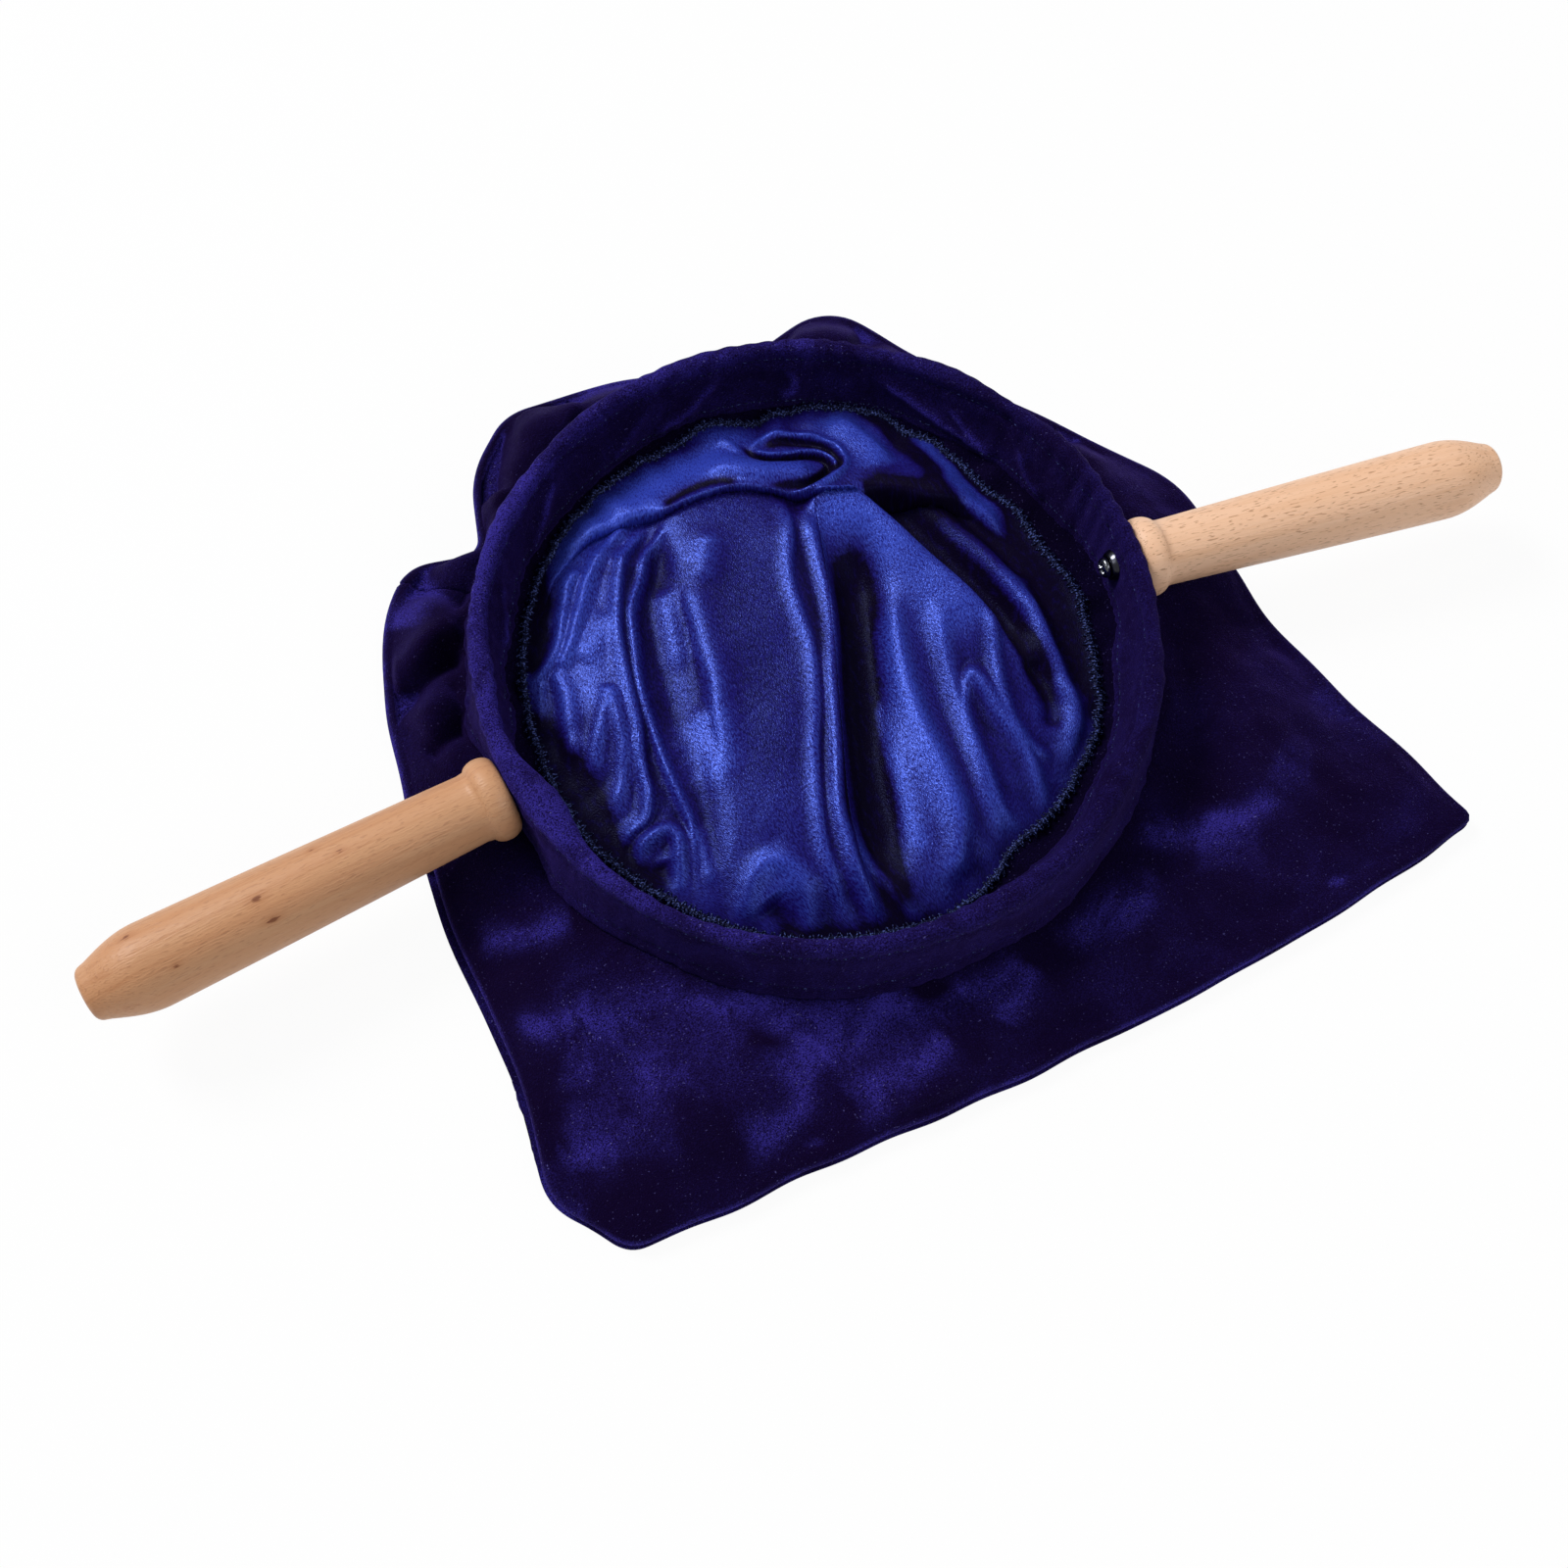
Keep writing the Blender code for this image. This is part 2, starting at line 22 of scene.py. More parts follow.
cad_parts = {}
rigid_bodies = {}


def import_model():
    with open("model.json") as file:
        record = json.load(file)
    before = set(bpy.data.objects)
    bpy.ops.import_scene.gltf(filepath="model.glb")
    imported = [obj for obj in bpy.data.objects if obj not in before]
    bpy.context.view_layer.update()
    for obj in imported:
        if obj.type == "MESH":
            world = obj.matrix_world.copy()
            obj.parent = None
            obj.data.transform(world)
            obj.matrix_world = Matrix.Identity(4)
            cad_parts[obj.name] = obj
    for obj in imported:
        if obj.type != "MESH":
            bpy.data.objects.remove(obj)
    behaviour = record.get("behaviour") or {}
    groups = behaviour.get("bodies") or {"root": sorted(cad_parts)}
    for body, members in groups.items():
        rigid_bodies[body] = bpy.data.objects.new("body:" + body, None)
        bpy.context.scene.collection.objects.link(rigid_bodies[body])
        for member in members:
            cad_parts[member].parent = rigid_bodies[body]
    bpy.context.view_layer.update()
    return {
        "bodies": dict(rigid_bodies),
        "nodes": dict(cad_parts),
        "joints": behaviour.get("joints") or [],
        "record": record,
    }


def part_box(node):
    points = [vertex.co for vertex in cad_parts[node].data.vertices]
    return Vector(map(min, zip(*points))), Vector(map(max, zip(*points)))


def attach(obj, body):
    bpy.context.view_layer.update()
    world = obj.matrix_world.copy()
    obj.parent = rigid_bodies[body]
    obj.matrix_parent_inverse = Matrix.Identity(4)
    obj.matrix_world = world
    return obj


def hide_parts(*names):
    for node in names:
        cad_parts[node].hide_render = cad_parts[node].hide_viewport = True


log = logging.getLogger("offertory_bag")

Array = np.ndarray
Path = tuple[tuple[float, float], ...]
Triple = tuple[float, float, float]
Colour = Triple
Mesh = bpy.types.Mesh
Piece = bpy.types.Object
Socket = bpy.types.NodeSocket

MM = 0.001
WELD = 1e-6
BAG = "bag"


# Shared geometry


def ease(low: float, high: float, value: Array | float) -> Array:
    """0 below low, 1 above high, and a smooth rise between."""
    share = np.clip((np.asarray(value, float) - low) / (high - low), 0.0, 1.0)
    return share * share * (3.0 - 2.0 * share)


def hump(value: Array | float, width: float) -> Array:
    """A round hump, 1 at zero, that has died away at twice its width."""
    return np.exp(-np.square(np.asarray(value, float) / width))


def fading(share: Array, start: float, end: float) -> Array:
    """1 along a path, easing to 0 over the first and the last part of its length."""
    return ease(0.0, start, share) * (1.0 - ease(1.0 - end, 1.0, share))


def unit(rows: Array) -> Array:
    """Rows scaled to length one."""
    return rows / np.maximum(np.linalg.norm(rows, axis=1, keepdims=True), 1e-12)


def turn_between(first: Array | float, second: float) -> Array:
    """The smallest angle between azimuths, without its sign."""
    return np.abs((np.asarray(first, float) - second + math.pi) % (2 * math.pi) - math.pi)


def flowing(points: Iterable[tuple[float, ...]], per_leg: int = 6) -> Array:
    """A smooth curve through a few points.

    Args:
        points: The points that the curve passes through.
        per_leg: How many steps it takes between two of them.

    Returns:
        The curve's points, one row each.
    """
    knots = np.asarray(list(points), float)
    padded = np.vstack([2 * knots[0] - knots[1], knots, 2 * knots[-1] - knots[-2]])
    steps = np.linspace(0.0, 1.0, per_leg, endpoint=False)[:, None]
    legs = []
    for a, b, c, d in zip(padded, padded[1:], padded[2:], padded[3:]):
        bend = 2 * a - 5 * b + 4 * c - d
        legs.append(b + 0.5 * steps * (c - a + steps * (bend + steps * (3 * (b - c) + d - a))))
    return np.vstack([*legs, knots[-1:]])


def travelled(path: Array) -> Array:
    """The length of a path up to each of its points."""
    legs = np.diff(path, axis=0)
    return np.concatenate([[0.0], np.cumsum(np.hypot(legs[:, 0], legs[:, 1]))])


def beside(path: Array, points: Array) -> tuple[Array, Array]:
    """How far points lie from a path, and where along it.

    Args:
        path: The path's points.
        points: The points to measure.

    Returns:
        The distance, positive on the left of the way of travel, and the share of the path's
        length at the nearest spot.
    """
    legs = np.diff(path, axis=0)
    lengths = np.hypot(legs[:, 0], legs[:, 1])
    runs = travelled(path)
    distance = np.full(len(points), np.inf)
    signed = np.zeros(len(points))
    place = np.zeros(len(points))
    for start, leg, length, run in zip(path, legs, lengths, runs):
        offset = points - start
        share = np.clip(offset @ leg / length**2, 0.0, 1.0)
        gap = offset - share[:, None] * leg
        apart = np.hypot(gap[:, 0], gap[:, 1])
        nearer = apart < distance
        side = np.where(leg[0] * offset[:, 1] - leg[1] * offset[:, 0] < 0, -1.0, 1.0)
        distance = np.where(nearer, apart, distance)
        signed = np.where(nearer, apart * side, signed)
        place = np.where(nearer, (run + share * length) / runs[-1], place)
    return signed, place


def leftward(path: Array, share: Array) -> Array:
    """Unit rows square to a path, on the left of the way of travel, at shares of its length."""
    index = np.clip((share * (len(path) - 1)).astype(int), 0, len(path) - 2)
    legs = unit(np.diff(path, axis=0))[index]
    return np.column_stack([-legs[:, 1], legs[:, 0]])


@dataclass(frozen=True)
class Waver:
    """A smooth, seeded unevenness round a circle or over a surface."""

    seed: int
    lowest: int
    highest: int
    waves: int = 9

    def round(self, azimuth: Array, along: Array | float = 0.0) -> Array:
        """The unevenness at azimuths, which drifts with a second coordinate in metres."""
        choice = np.random.default_rng(self.seed)
        total = np.zeros(np.shape(azimuth))
        for _ in range(self.waves):
            count = choice.integers(self.lowest, self.highest + 1)
            drift = choice.uniform(-90.0, 90.0)
            total += np.sin(count * azimuth + drift * along + choice.uniform(0, 2 * math.pi))
        return total / math.sqrt(self.waves)

    def over(self, flat: Array) -> Array:
        """The unevenness at flat points; the wave counts are per metre."""
        choice = np.random.default_rng(self.seed)
        total = np.zeros(len(flat))
        for _ in range(self.waves):
            count = 2 * math.pi * choice.uniform(self.lowest, self.highest)
            heading = choice.uniform(0, math.pi)
            run = flat[:, 0] * math.cos(heading) + flat[:, 1] * math.sin(heading)
            total += np.sin(count * run + choice.uniform(0, 2 * math.pi))
        return total / math.sqrt(self.waves)


def meshed(name: str, form: bmesh.types.BMesh, smooth: bool = False) -> Mesh:
    """A mesh of a finished form, which is freed."""
    for face in form.faces:
        face.smooth = smooth
    mesh = bpy.data.meshes.new(name)
    form.to_mesh(mesh)
    form.free()
    return mesh


class Cloth:
    """A grid of cloth that a function of two shares puts in place."""

    def __init__(self, name: str, across: int, along: int) -> None:
        """Starts a flat grid of so many faces each way, both shares from 0 to 1."""
        self.name = name
        self.form = bmesh.new()
        bmesh.ops.create_grid(self.form, x_segments=across, y_segments=along, size=0.5)
        bmesh.ops.translate(self.form, verts=self.form.verts, vec=(0.5, 0.5, 0.0))

    def cut_along(self, point: Vector, normal: Vector) -> None:
        """Keeps the part of the grid behind a plane."""
        everything = [*self.form.verts, *self.form.edges, *self.form.faces]
        bmesh.ops.bisect_plane(
            self.form, geom=everything, dist=1e-6, plane_co=point, plane_no=normal, clear_outer=True
        )

    def shares(self) -> tuple[Array, Array]:
        """The two shares of every vertex."""
        flat = np.array([vert.co[:2] for vert in self.form.verts])
        return flat[:, 0], flat[:, 1]

    def laid(
        self,
        place: Callable[[Array, Array], Array],
        size: tuple[float, float],
        centre: Vector,
        merge: float = 0.0,
    ) -> Mesh:
        """Puts the grid in place as a mesh.

        Args:
            place: Gives a row of x, y and z about the hoop's middle for every pair of shares.
            size: The cloth's size in metres, for its UV map.
            centre: The hoop's middle.
            merge: Vertices nearer than this are made one, which closes a ring.

        Returns:
            The mesh, with its UV map in metres of cloth.
        """
        across, along = self.shares()
        self.form.verts.ensure_lookup_table()
        uv_map = self.form.loops.layers.uv.new("cloth")
        for face in self.form.faces:
            for loop in face.loops:
                share = loop.vert.co
                loop[uv_map].uv = (share.x * size[0], share.y * size[1])
        for vert, spot in zip(self.form.verts, place(across, along)):
            vert.co = Vector(spot) + centre
        if merge:
            bmesh.ops.remove_doubles(self.form, verts=self.form.verts, dist=merge)
        return meshed(self.name, self.form, smooth=True)


def shown(name: str, mesh: Mesh, body: str) -> Piece:
    """Shows a mesh as a piece that rides on a body."""
    piece = bpy.data.objects.new(name, mesh)
    bpy.context.scene.collection.objects.link(piece)
    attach(piece, body)
    return piece


def thicken(piece: Piece, thickness: float, offset: float = 0.0) -> None:
    """Gives cloth its thickness."""
    solidify = piece.modifiers.new("thickness", "SOLIDIFY")
    solidify.thickness = thickness
    solidify.offset = offset
    solidify.use_even_offset = False


def paint(piece: Piece, name: str, values: Array) -> None:
    """Stores one number for each vertex, for a material to read."""
    layer = piece.data.attributes.new(name, "FLOAT", "POINT")
    layer.data.foreach_set("value", np.asarray(values, np.float32))


def spots_of(piece: Piece, centre: Vector) -> Array:
    """The places of a piece's vertices about the hoop's middle."""
    return np.array([vertex.co for vertex in piece.data.vertices]) - np.array(centre)


def at(azimuth: Array, radius: Array, height: Array) -> Array:
    """Rows of x, y and z for cylindrical places."""
    return np.column_stack([radius * np.cos(azimuth), radius * np.sin(azimuth), height])


def thread(
    name: str, spots: Array, outward: Array, radius: float, sides: int, centre: Vector
) -> Mesh:
    """A closed loop of round thread.

    Args:
        name: The mesh's name.
        spots: The points that its middle passes through, without the first one again.
        outward: A direction square to the thread at each of them.
        radius: The thread's radius.
        sides: Its number of sides.
        centre: The hoop's middle.

    Returns:
        The mesh.
    """
    ahead = unit(np.roll(spots, -1, axis=0) - np.roll(spots, 1, axis=0))
    aside = unit(np.cross(ahead, outward))
    count = len(spots)

    def place(across: Array, along: Array) -> Array:
        index = np.rint(along * count).astype(int) % count
        turn = across * 2 * math.pi
        ring = np.cos(turn)[:, None] * outward[index] + np.sin(turn)[:, None] * aside[index]
        return spots[index] + radius * ring

    cloth = Cloth(name, sides, count)
    return cloth.laid(place, (2 * math.pi * radius, 1.0), centre, merge=WELD)


# Finishes


class Recipe:
    """One material's node tree, with the patterns that the finishes share."""

    def __init__(self, name: str) -> None:
        """Starts a Principled material."""
        self.material = bpy.data.materials.new(name)
        self.material.use_nodes = True
        self.tree = self.material.node_tree
        self.shader = self.tree.nodes["Principled BSDF"]

    def node(self, kind: str, inputs: dict | None = None, **settings: object) -> bpy.types.Node:
        """Adds a node; an input is a plain value or another node's socket."""
        made = self.tree.nodes.new(f"ShaderNode{kind}")
        for name, value in settings.items():
            setattr(made, name, value)
        for name, value in (inputs or {}).items():
            self.feed(made.inputs[name], value)
        return made

    def feed(self, socket: Socket, value: object) -> None:
        """Sets or links one socket."""
        if isinstance(value, Socket):
            self.tree.links.new(value, socket)
        else:
            socket.default_value = value

    def finish(self, **inputs: object) -> bpy.types.Material:
        """Sets the shader's inputs, named with _ for a space, and gives the material."""
        for name, value in inputs.items():
            self.feed(self.shader.inputs[name.replace("_", " ")], value)
        return self.material

    def places(self) -> Socket:
        """The object's own coordinates, in metres."""
        return self.node("TexCoord").outputs["Object"]

    def mapped(self, where: Socket, scale: Triple = (1.0, 1.0, 1.0), turn: float = 0.0) -> Socket:
        """Places scaled along each axis and turned about Z."""
        inputs = {"Vector": where, "Rotation": (0.0, 0.0, turn), "Scale": scale}
        return self.node("Mapping", inputs).outputs[0]

    def painted(self, name: str) -> Socket:
        """The number that is painted on the piece under a name."""
        return self.node("Attribute", attribute_name=name).outputs["Fac"]

    def vectors(self, operation: str, first: object, second: object) -> bpy.types.Node:
        """One sum of two vectors."""
        made = self.node("VectorMath", operation=operation)
        self.feed(made.inputs[0], first)
        self.feed(made.inputs[1], second)
        return made

    def noise(
        self,
        where: Socket,
        scale: float,
        detail: float = 2.0,
        roughness: float = 0.5,
        distortion: float = 0.0,
    ) -> Socket:
        """Noise around 0.5."""
        inputs = {
            "Vector": where,
            "Scale": scale,
            "Detail": detail,
            "Roughness": roughness,
            "Distortion": distortion,
        }
        return self.node("TexNoise", inputs).outputs[0]

    def maths(self, operation: str, first: object, second: object = 0.0) -> Socket:
        """One sum of two values."""
        made = self.node("Math", operation=operation)
        self.feed(made.inputs[0], first)
        self.feed(made.inputs[1], second)
        return made.outputs[0]

    def between(
        self, value: Socket, low: float, high: float, start: float, end: float
    ) -> Socket:
        """A value from low to high, spread over start to end and clamped."""
        inputs = {"Value": value, "From Min": low, "From Max": high, "To Min": start, "To Max": end}
        return self.node("MapRange", inputs).outputs[0]

    def blend(self, share: object, first: object, second: object) -> Socket:
        """A colour between two others."""
        made = self.node("Mix", data_type="RGBA")
        self.feed(made.inputs[0], share)
        self.feed(made.inputs[6], self.opaque(first))
        self.feed(made.inputs[7], self.opaque(second))
        return made.outputs[2]

    def bump(self, height: Socket, distance: float, under: Socket | None = None) -> Socket:
        """A bumped normal; distance is in metres."""
        inputs = {"Height": height, "Distance": distance, "Strength": 1.0}
        if under is not None:
            inputs["Normal"] = under
        return self.node("Bump", inputs).outputs[0]

    @staticmethod
    def opaque(colour: object) -> object:
        """A colour with its alpha, or the socket that gives one."""
        return (*colour, 1.0) if isinstance(colour, tuple) and len(colour) == 3 else colour


@dataclass(frozen=True)
class VelvetFinish:
    """Crushed velvet: a dark ground and a short pile, with sheen painted into its colour where the
    pile is brushed over.
    """

    name: str
    ground: Colour = (0.0040, 0.0015, 0.0130)
    # The colour of the sheen that is painted on brushed pile.
    painted_sheen_colour: Colour = (0.034, 0.025, 0.255)
    # Lint and painted glints on the pile tips.
    tip: Colour = (0.120, 0.110, 0.360)
    sheen: Colour = (0.110, 0.060, 0.520)
    sheen_weight: float = 0.34
    sheen_roughness: float = 0.42
    cloud_scale: float = 42.0
    pile_scale: float = 1900.0
    fibre_scale: float = 2100.0
    lint_and_glint_scale: float = 1500.0

    def made(self) -> bpy.types.Material:
        """Builds the material; it reads the painted sheen that is stored on the piece."""
        recipe = Recipe(self.name)
        where = recipe.places()
        # Painted sheen: the base colour is lightened towards the sheen colour where sheen is
        # painted, broken up by clouds and speckled pile grain.
        painted_sheen = recipe.painted("painted_sheen")
        clouds = recipe.noise(where, self.cloud_scale, 4.0, 0.6, 0.8)
        pile = recipe.noise(where, self.pile_scale, 1.0, 0.7)
        fibres = recipe.noise(where, self.fibre_scale, 1.0)
        cloudy = recipe.between(clouds, 0.40, 0.60, 0.30, 1.05)
        share = recipe.maths("MULTIPLY", painted_sheen, cloudy)
        speckle = recipe.between(pile, 0.36, 0.68, 0.15, 2.6)
        share = recipe.maths("MULTIPLY", share, speckle)
        share = recipe.maths("ADD", share, recipe.between(pile, 0.55, 0.75, 0.0, 0.06))
        colour = recipe.blend(recipe.maths("MINIMUM", share, 1.0), self.ground, self.painted_sheen_colour)
        # Lint with painted glints on the pile tips, showing more where sheen is painted.
        lint_and_glints = recipe.noise(where, self.lint_and_glint_scale, 0.0)
        lint_and_glints = recipe.between(lint_and_glints, 0.77, 0.83, 0.0, 0.8)
        lint_and_glints = recipe.maths("MULTIPLY", lint_and_glints, recipe.between(painted_sheen, 0.05, 0.40, 0.40, 1.0))
        colour = recipe.blend(lint_and_glints, colour, self.tip)
        soft = recipe.bump(clouds, 0.0016)
        soft = recipe.bump(pile, 0.0005, soft)
        return recipe.finish(
            Base_Color=colour,
            Roughness=0.92,
            Specular_IOR_Level=0.12,
            Specular_Tint=(0.25, 0.10, 1.0, 1.0),
            Sheen_Weight=self.sheen_weight,
            Sheen_Roughness=self.sheen_roughness,
            Sheen_Tint=(*self.sheen, 1.0),
            Normal=recipe.bump(fibres, 0.00025, soft),
        )


@dataclass(frozen=True)
class SatinFinish:
    """Royal blue satin: long floats of thread that shine across the weave."""

    name: str
    # Colours for painted shade, the usual tone and painted light, which the painted light attribute
    # blends.
    shade_colour: Colour = (0.0034, 0.0015, 0.0110)
    middle: Colour = (0.0100, 0.0048, 0.122)
    bright: Colour = (0.0300, 0.0540, 0.430)
    shine: Colour = (0.145, 0.245, 1.0)
    density: float = 1.75
    roughness: float = 0.345
    weave_turn: float = 0.62
    float_share: float = 0.45
    weave_scale: float = 2400.0
    grain_scale: float = 1500.0
    slub_scale: float = 520.0
    soft_scale: float = 46.0

    def made(self) -> bpy.types.Material:
        """Builds the material on the cloth's own UV map, in metres."""
        recipe = Recipe(self.name)
        cloth = recipe.node("UVMap", uv_map="cloth").outputs[0]
        turned = recipe.mapped(cloth, (1.0, self.float_share, 1.0), self.weave_turn)
        # Light and shade painted on the satin: it darkens or lightens the colour and dims the
        # reflection.
        painted_light = recipe.painted("painted_light")
        weave = recipe.noise(turned, self.weave_scale, 1.0, 0.5)
        slubs = recipe.noise(turned, self.slub_scale, 2.0, 0.6)
        soft = recipe.noise(cloth, self.soft_scale, 2.0, 0.5, 0.4)
        grains = recipe.noise(turned, self.grain_scale, 1.0, 0.8)
        share = recipe.maths("ADD", recipe.between(slubs, 0.4, 0.7, -0.03, 0.05), painted_light)
        rough = recipe.between(grains, 0.34, 0.66, 0.45, 1.60)
        share = recipe.maths("MULTIPLY", share, rough)
        colour = recipe.blend(recipe.between(share, 0.0, 0.24, 0.0, 1.0), self.shade_colour, self.middle)
        colour = recipe.blend(recipe.between(share, 0.24, 1.0, 0.0, 1.0), colour, self.bright)
        # The reflection's tint is dimmed where shade is painted: painted shade on the reflection.
        lit = recipe.between(painted_light, 0.04, 0.42, 0.02, 1.0)
        dull = tuple(part * 0.02 for part in self.shine)
        lit = recipe.maths("MULTIPLY", lit, recipe.between(grains, 0.36, 0.62, 0.25, 1.0))
        tint = recipe.blend(lit, dull, self.shine)
        gloss = recipe.between(weave, 0.3, 0.7, self.roughness + 0.10, self.roughness - 0.10)
        normal = recipe.bump(soft, 0.0006)
        return recipe.finish(
            Base_Color=colour,
            Roughness=gloss,
            IOR=self.density,
            Specular_IOR_Level=1.0,
            Specular_Tint=tint,
            Normal=recipe.bump(weave, 0.00020, normal),
        )


@dataclass(frozen=True)
class ThreadFinish:
    """Spun thread with a little shine."""

    name: str
    colour: Colour = (0.0030, 0.0034, 0.0170)
    fleck: Colour = (0.080, 0.112, 0.360)

    def made(self) -> bpy.types.Material:
        """Builds the material."""
        recipe = Recipe(self.name)
        where = recipe.places()
        plies = recipe.noise(where, 1500.0, 1.0)
        colour = recipe.blend(recipe.between(plies, 0.53, 0.65, 0.0, 1.0), self.colour, self.fleck)
        return recipe.finish(
            Base_Color=colour,
            Roughness=0.50,
            Specular_IOR_Level=0.16,
            Specular_Tint=(0.45, 0.50, 1.0, 1.0),
            Normal=recipe.bump(plies, 0.0002),
        )


@dataclass(frozen=True)
class BeechFinish:
    """Turned and waxed beech: pale, with short dark flecks along the grain."""

    name: str
    turn: float
    middle: Vector
    pale: Colour
    warm: Colour
    dark: Colour
    fleck: Colour
    flecked: float = 0.62
    streaked: float = 0.42
    knot_length: float = 0.55
    broad_scale: Triple = (5.0, 60.0, 60.0)
    ring_scale: Triple = (7.0, 420.0, 150.0)
    hair_scale: Triple = (60.0, 1500.0, 1500.0)
    ray_scale: Triple = (330.0, 1900.0, 2600.0)
    knots: tuple[tuple[float, float, float, float], ...] = ()

    def made(self) -> bpy.types.Material:
        """Builds the material, its grain along the handle's own axis."""
        recipe = Recipe(self.name)
        moved = recipe.vectors("SUBTRACT", recipe.places(), self.middle)
        own = recipe.mapped(moved.outputs[0], turn=-self.turn)
        broad = recipe.noise(recipe.mapped(own, self.broad_scale), 1.0, 3.0, 0.55, 0.5)
        rings = recipe.noise(recipe.mapped(own, self.ring_scale), 1.0, 2.0, 0.6, 0.3)
        hairs = recipe.noise(recipe.mapped(own, self.hair_scale), 1.0, 2.0, 0.6)
        rays = recipe.noise(recipe.mapped(own, self.ray_scale), 1.0, 0.0)
        colour = recipe.blend(recipe.between(broad, 0.32, 0.68, 0.0, 1.0), self.pale, self.warm)
        streak = recipe.between(rings, 0.50, 0.72, 0.0, self.streaked)
        colour = recipe.blend(streak, colour, self.dark)
        colour = recipe.blend(recipe.between(hairs, 0.55, 0.75, 0.0, 0.25), colour, self.dark)
        flecks = recipe.between(rays, 0.66, 0.74, 0.0, self.flecked)
        colour = recipe.blend(flecks, colour, self.fleck)
        long = self.knot_length
        for x, y, z, size in self.knots:
            near = recipe.mapped(own, (long, 1.0, 1.0))
            away = recipe.vectors("DISTANCE", near, (x * long, y, z))
            uneven = recipe.between(hairs, 0.3, 0.7, -0.0006, 0.0006)
            distance = recipe.maths("ADD", away.outputs["Value"], uneven)
            halo = recipe.between(distance, size, size * 3.2, 0.45, 0.0)
            colour = recipe.blend(halo, colour, self.dark)
            heart = recipe.between(distance, size * 0.6, size, 0.8, 0.0)
            colour = recipe.blend(heart, colour, self.fleck)
        pores = recipe.bump(rays, 0.00012)
        return recipe.finish(
            Base_Color=colour,
            Roughness=recipe.between(hairs, 0.3, 0.7, 0.40, 0.50),
            Specular_IOR_Level=0.28,
            Coat_Weight=0.05,
            Coat_Roughness=0.30,
            Normal=recipe.bump(hairs, 0.00006, pores),
        )


@dataclass(frozen=True)
class SteelFinish:
    """Plain steel, from drawn strip to bright plate."""

    name: str
    colour: Colour
    roughness: float
    drawn: float = 1.0

    def made(self) -> bpy.types.Material:
        """Builds the material, with fine lines along its stretch."""
        recipe = Recipe(self.name)
        where = recipe.mapped(recipe.places(), (1.0, 1.0, self.drawn))
        lines = recipe.noise(where, 800.0, 3.0, 0.6)
        tone = recipe.between(lines, 0.3, 0.7, 0.0, 0.3)
        darker = tuple(part * 0.6 for part in self.colour)
        low, high = self.roughness * 0.8, self.roughness * 1.25
        return recipe.finish(
            Base_Color=recipe.blend(tone, self.colour, darker),
            Metallic=1.0,
            Roughness=recipe.between(lines, 0.3, 0.7, low, high),
            Normal=recipe.bump(lines, 0.00003),
        )


# The mouth


@dataclass(frozen=True)
class Handhold:
    """Where one handle meets the hoop."""

    side: str
    azimuth: float


@dataclass(frozen=True)
class Gather:
    """Spare casing drawn together into a bump on the inner side of its fold."""

    degrees: float
    half_degrees: float
    inward: float
    lift: float


@dataclass(frozen=True)
class Crease:
    """A ridge or valley in cloth: its path, how high it stands and how wide it is."""

    path: Path
    height: float
    width: float
    ends: float = 0.2

    def over(self, points: Array) -> Array:
        """Its height at flat points, dying away at both ends."""
        away, share = beside(flowing(self.path) * MM, points)
        return self.height * hump(away, self.width) * fading(share, self.ends, self.ends)


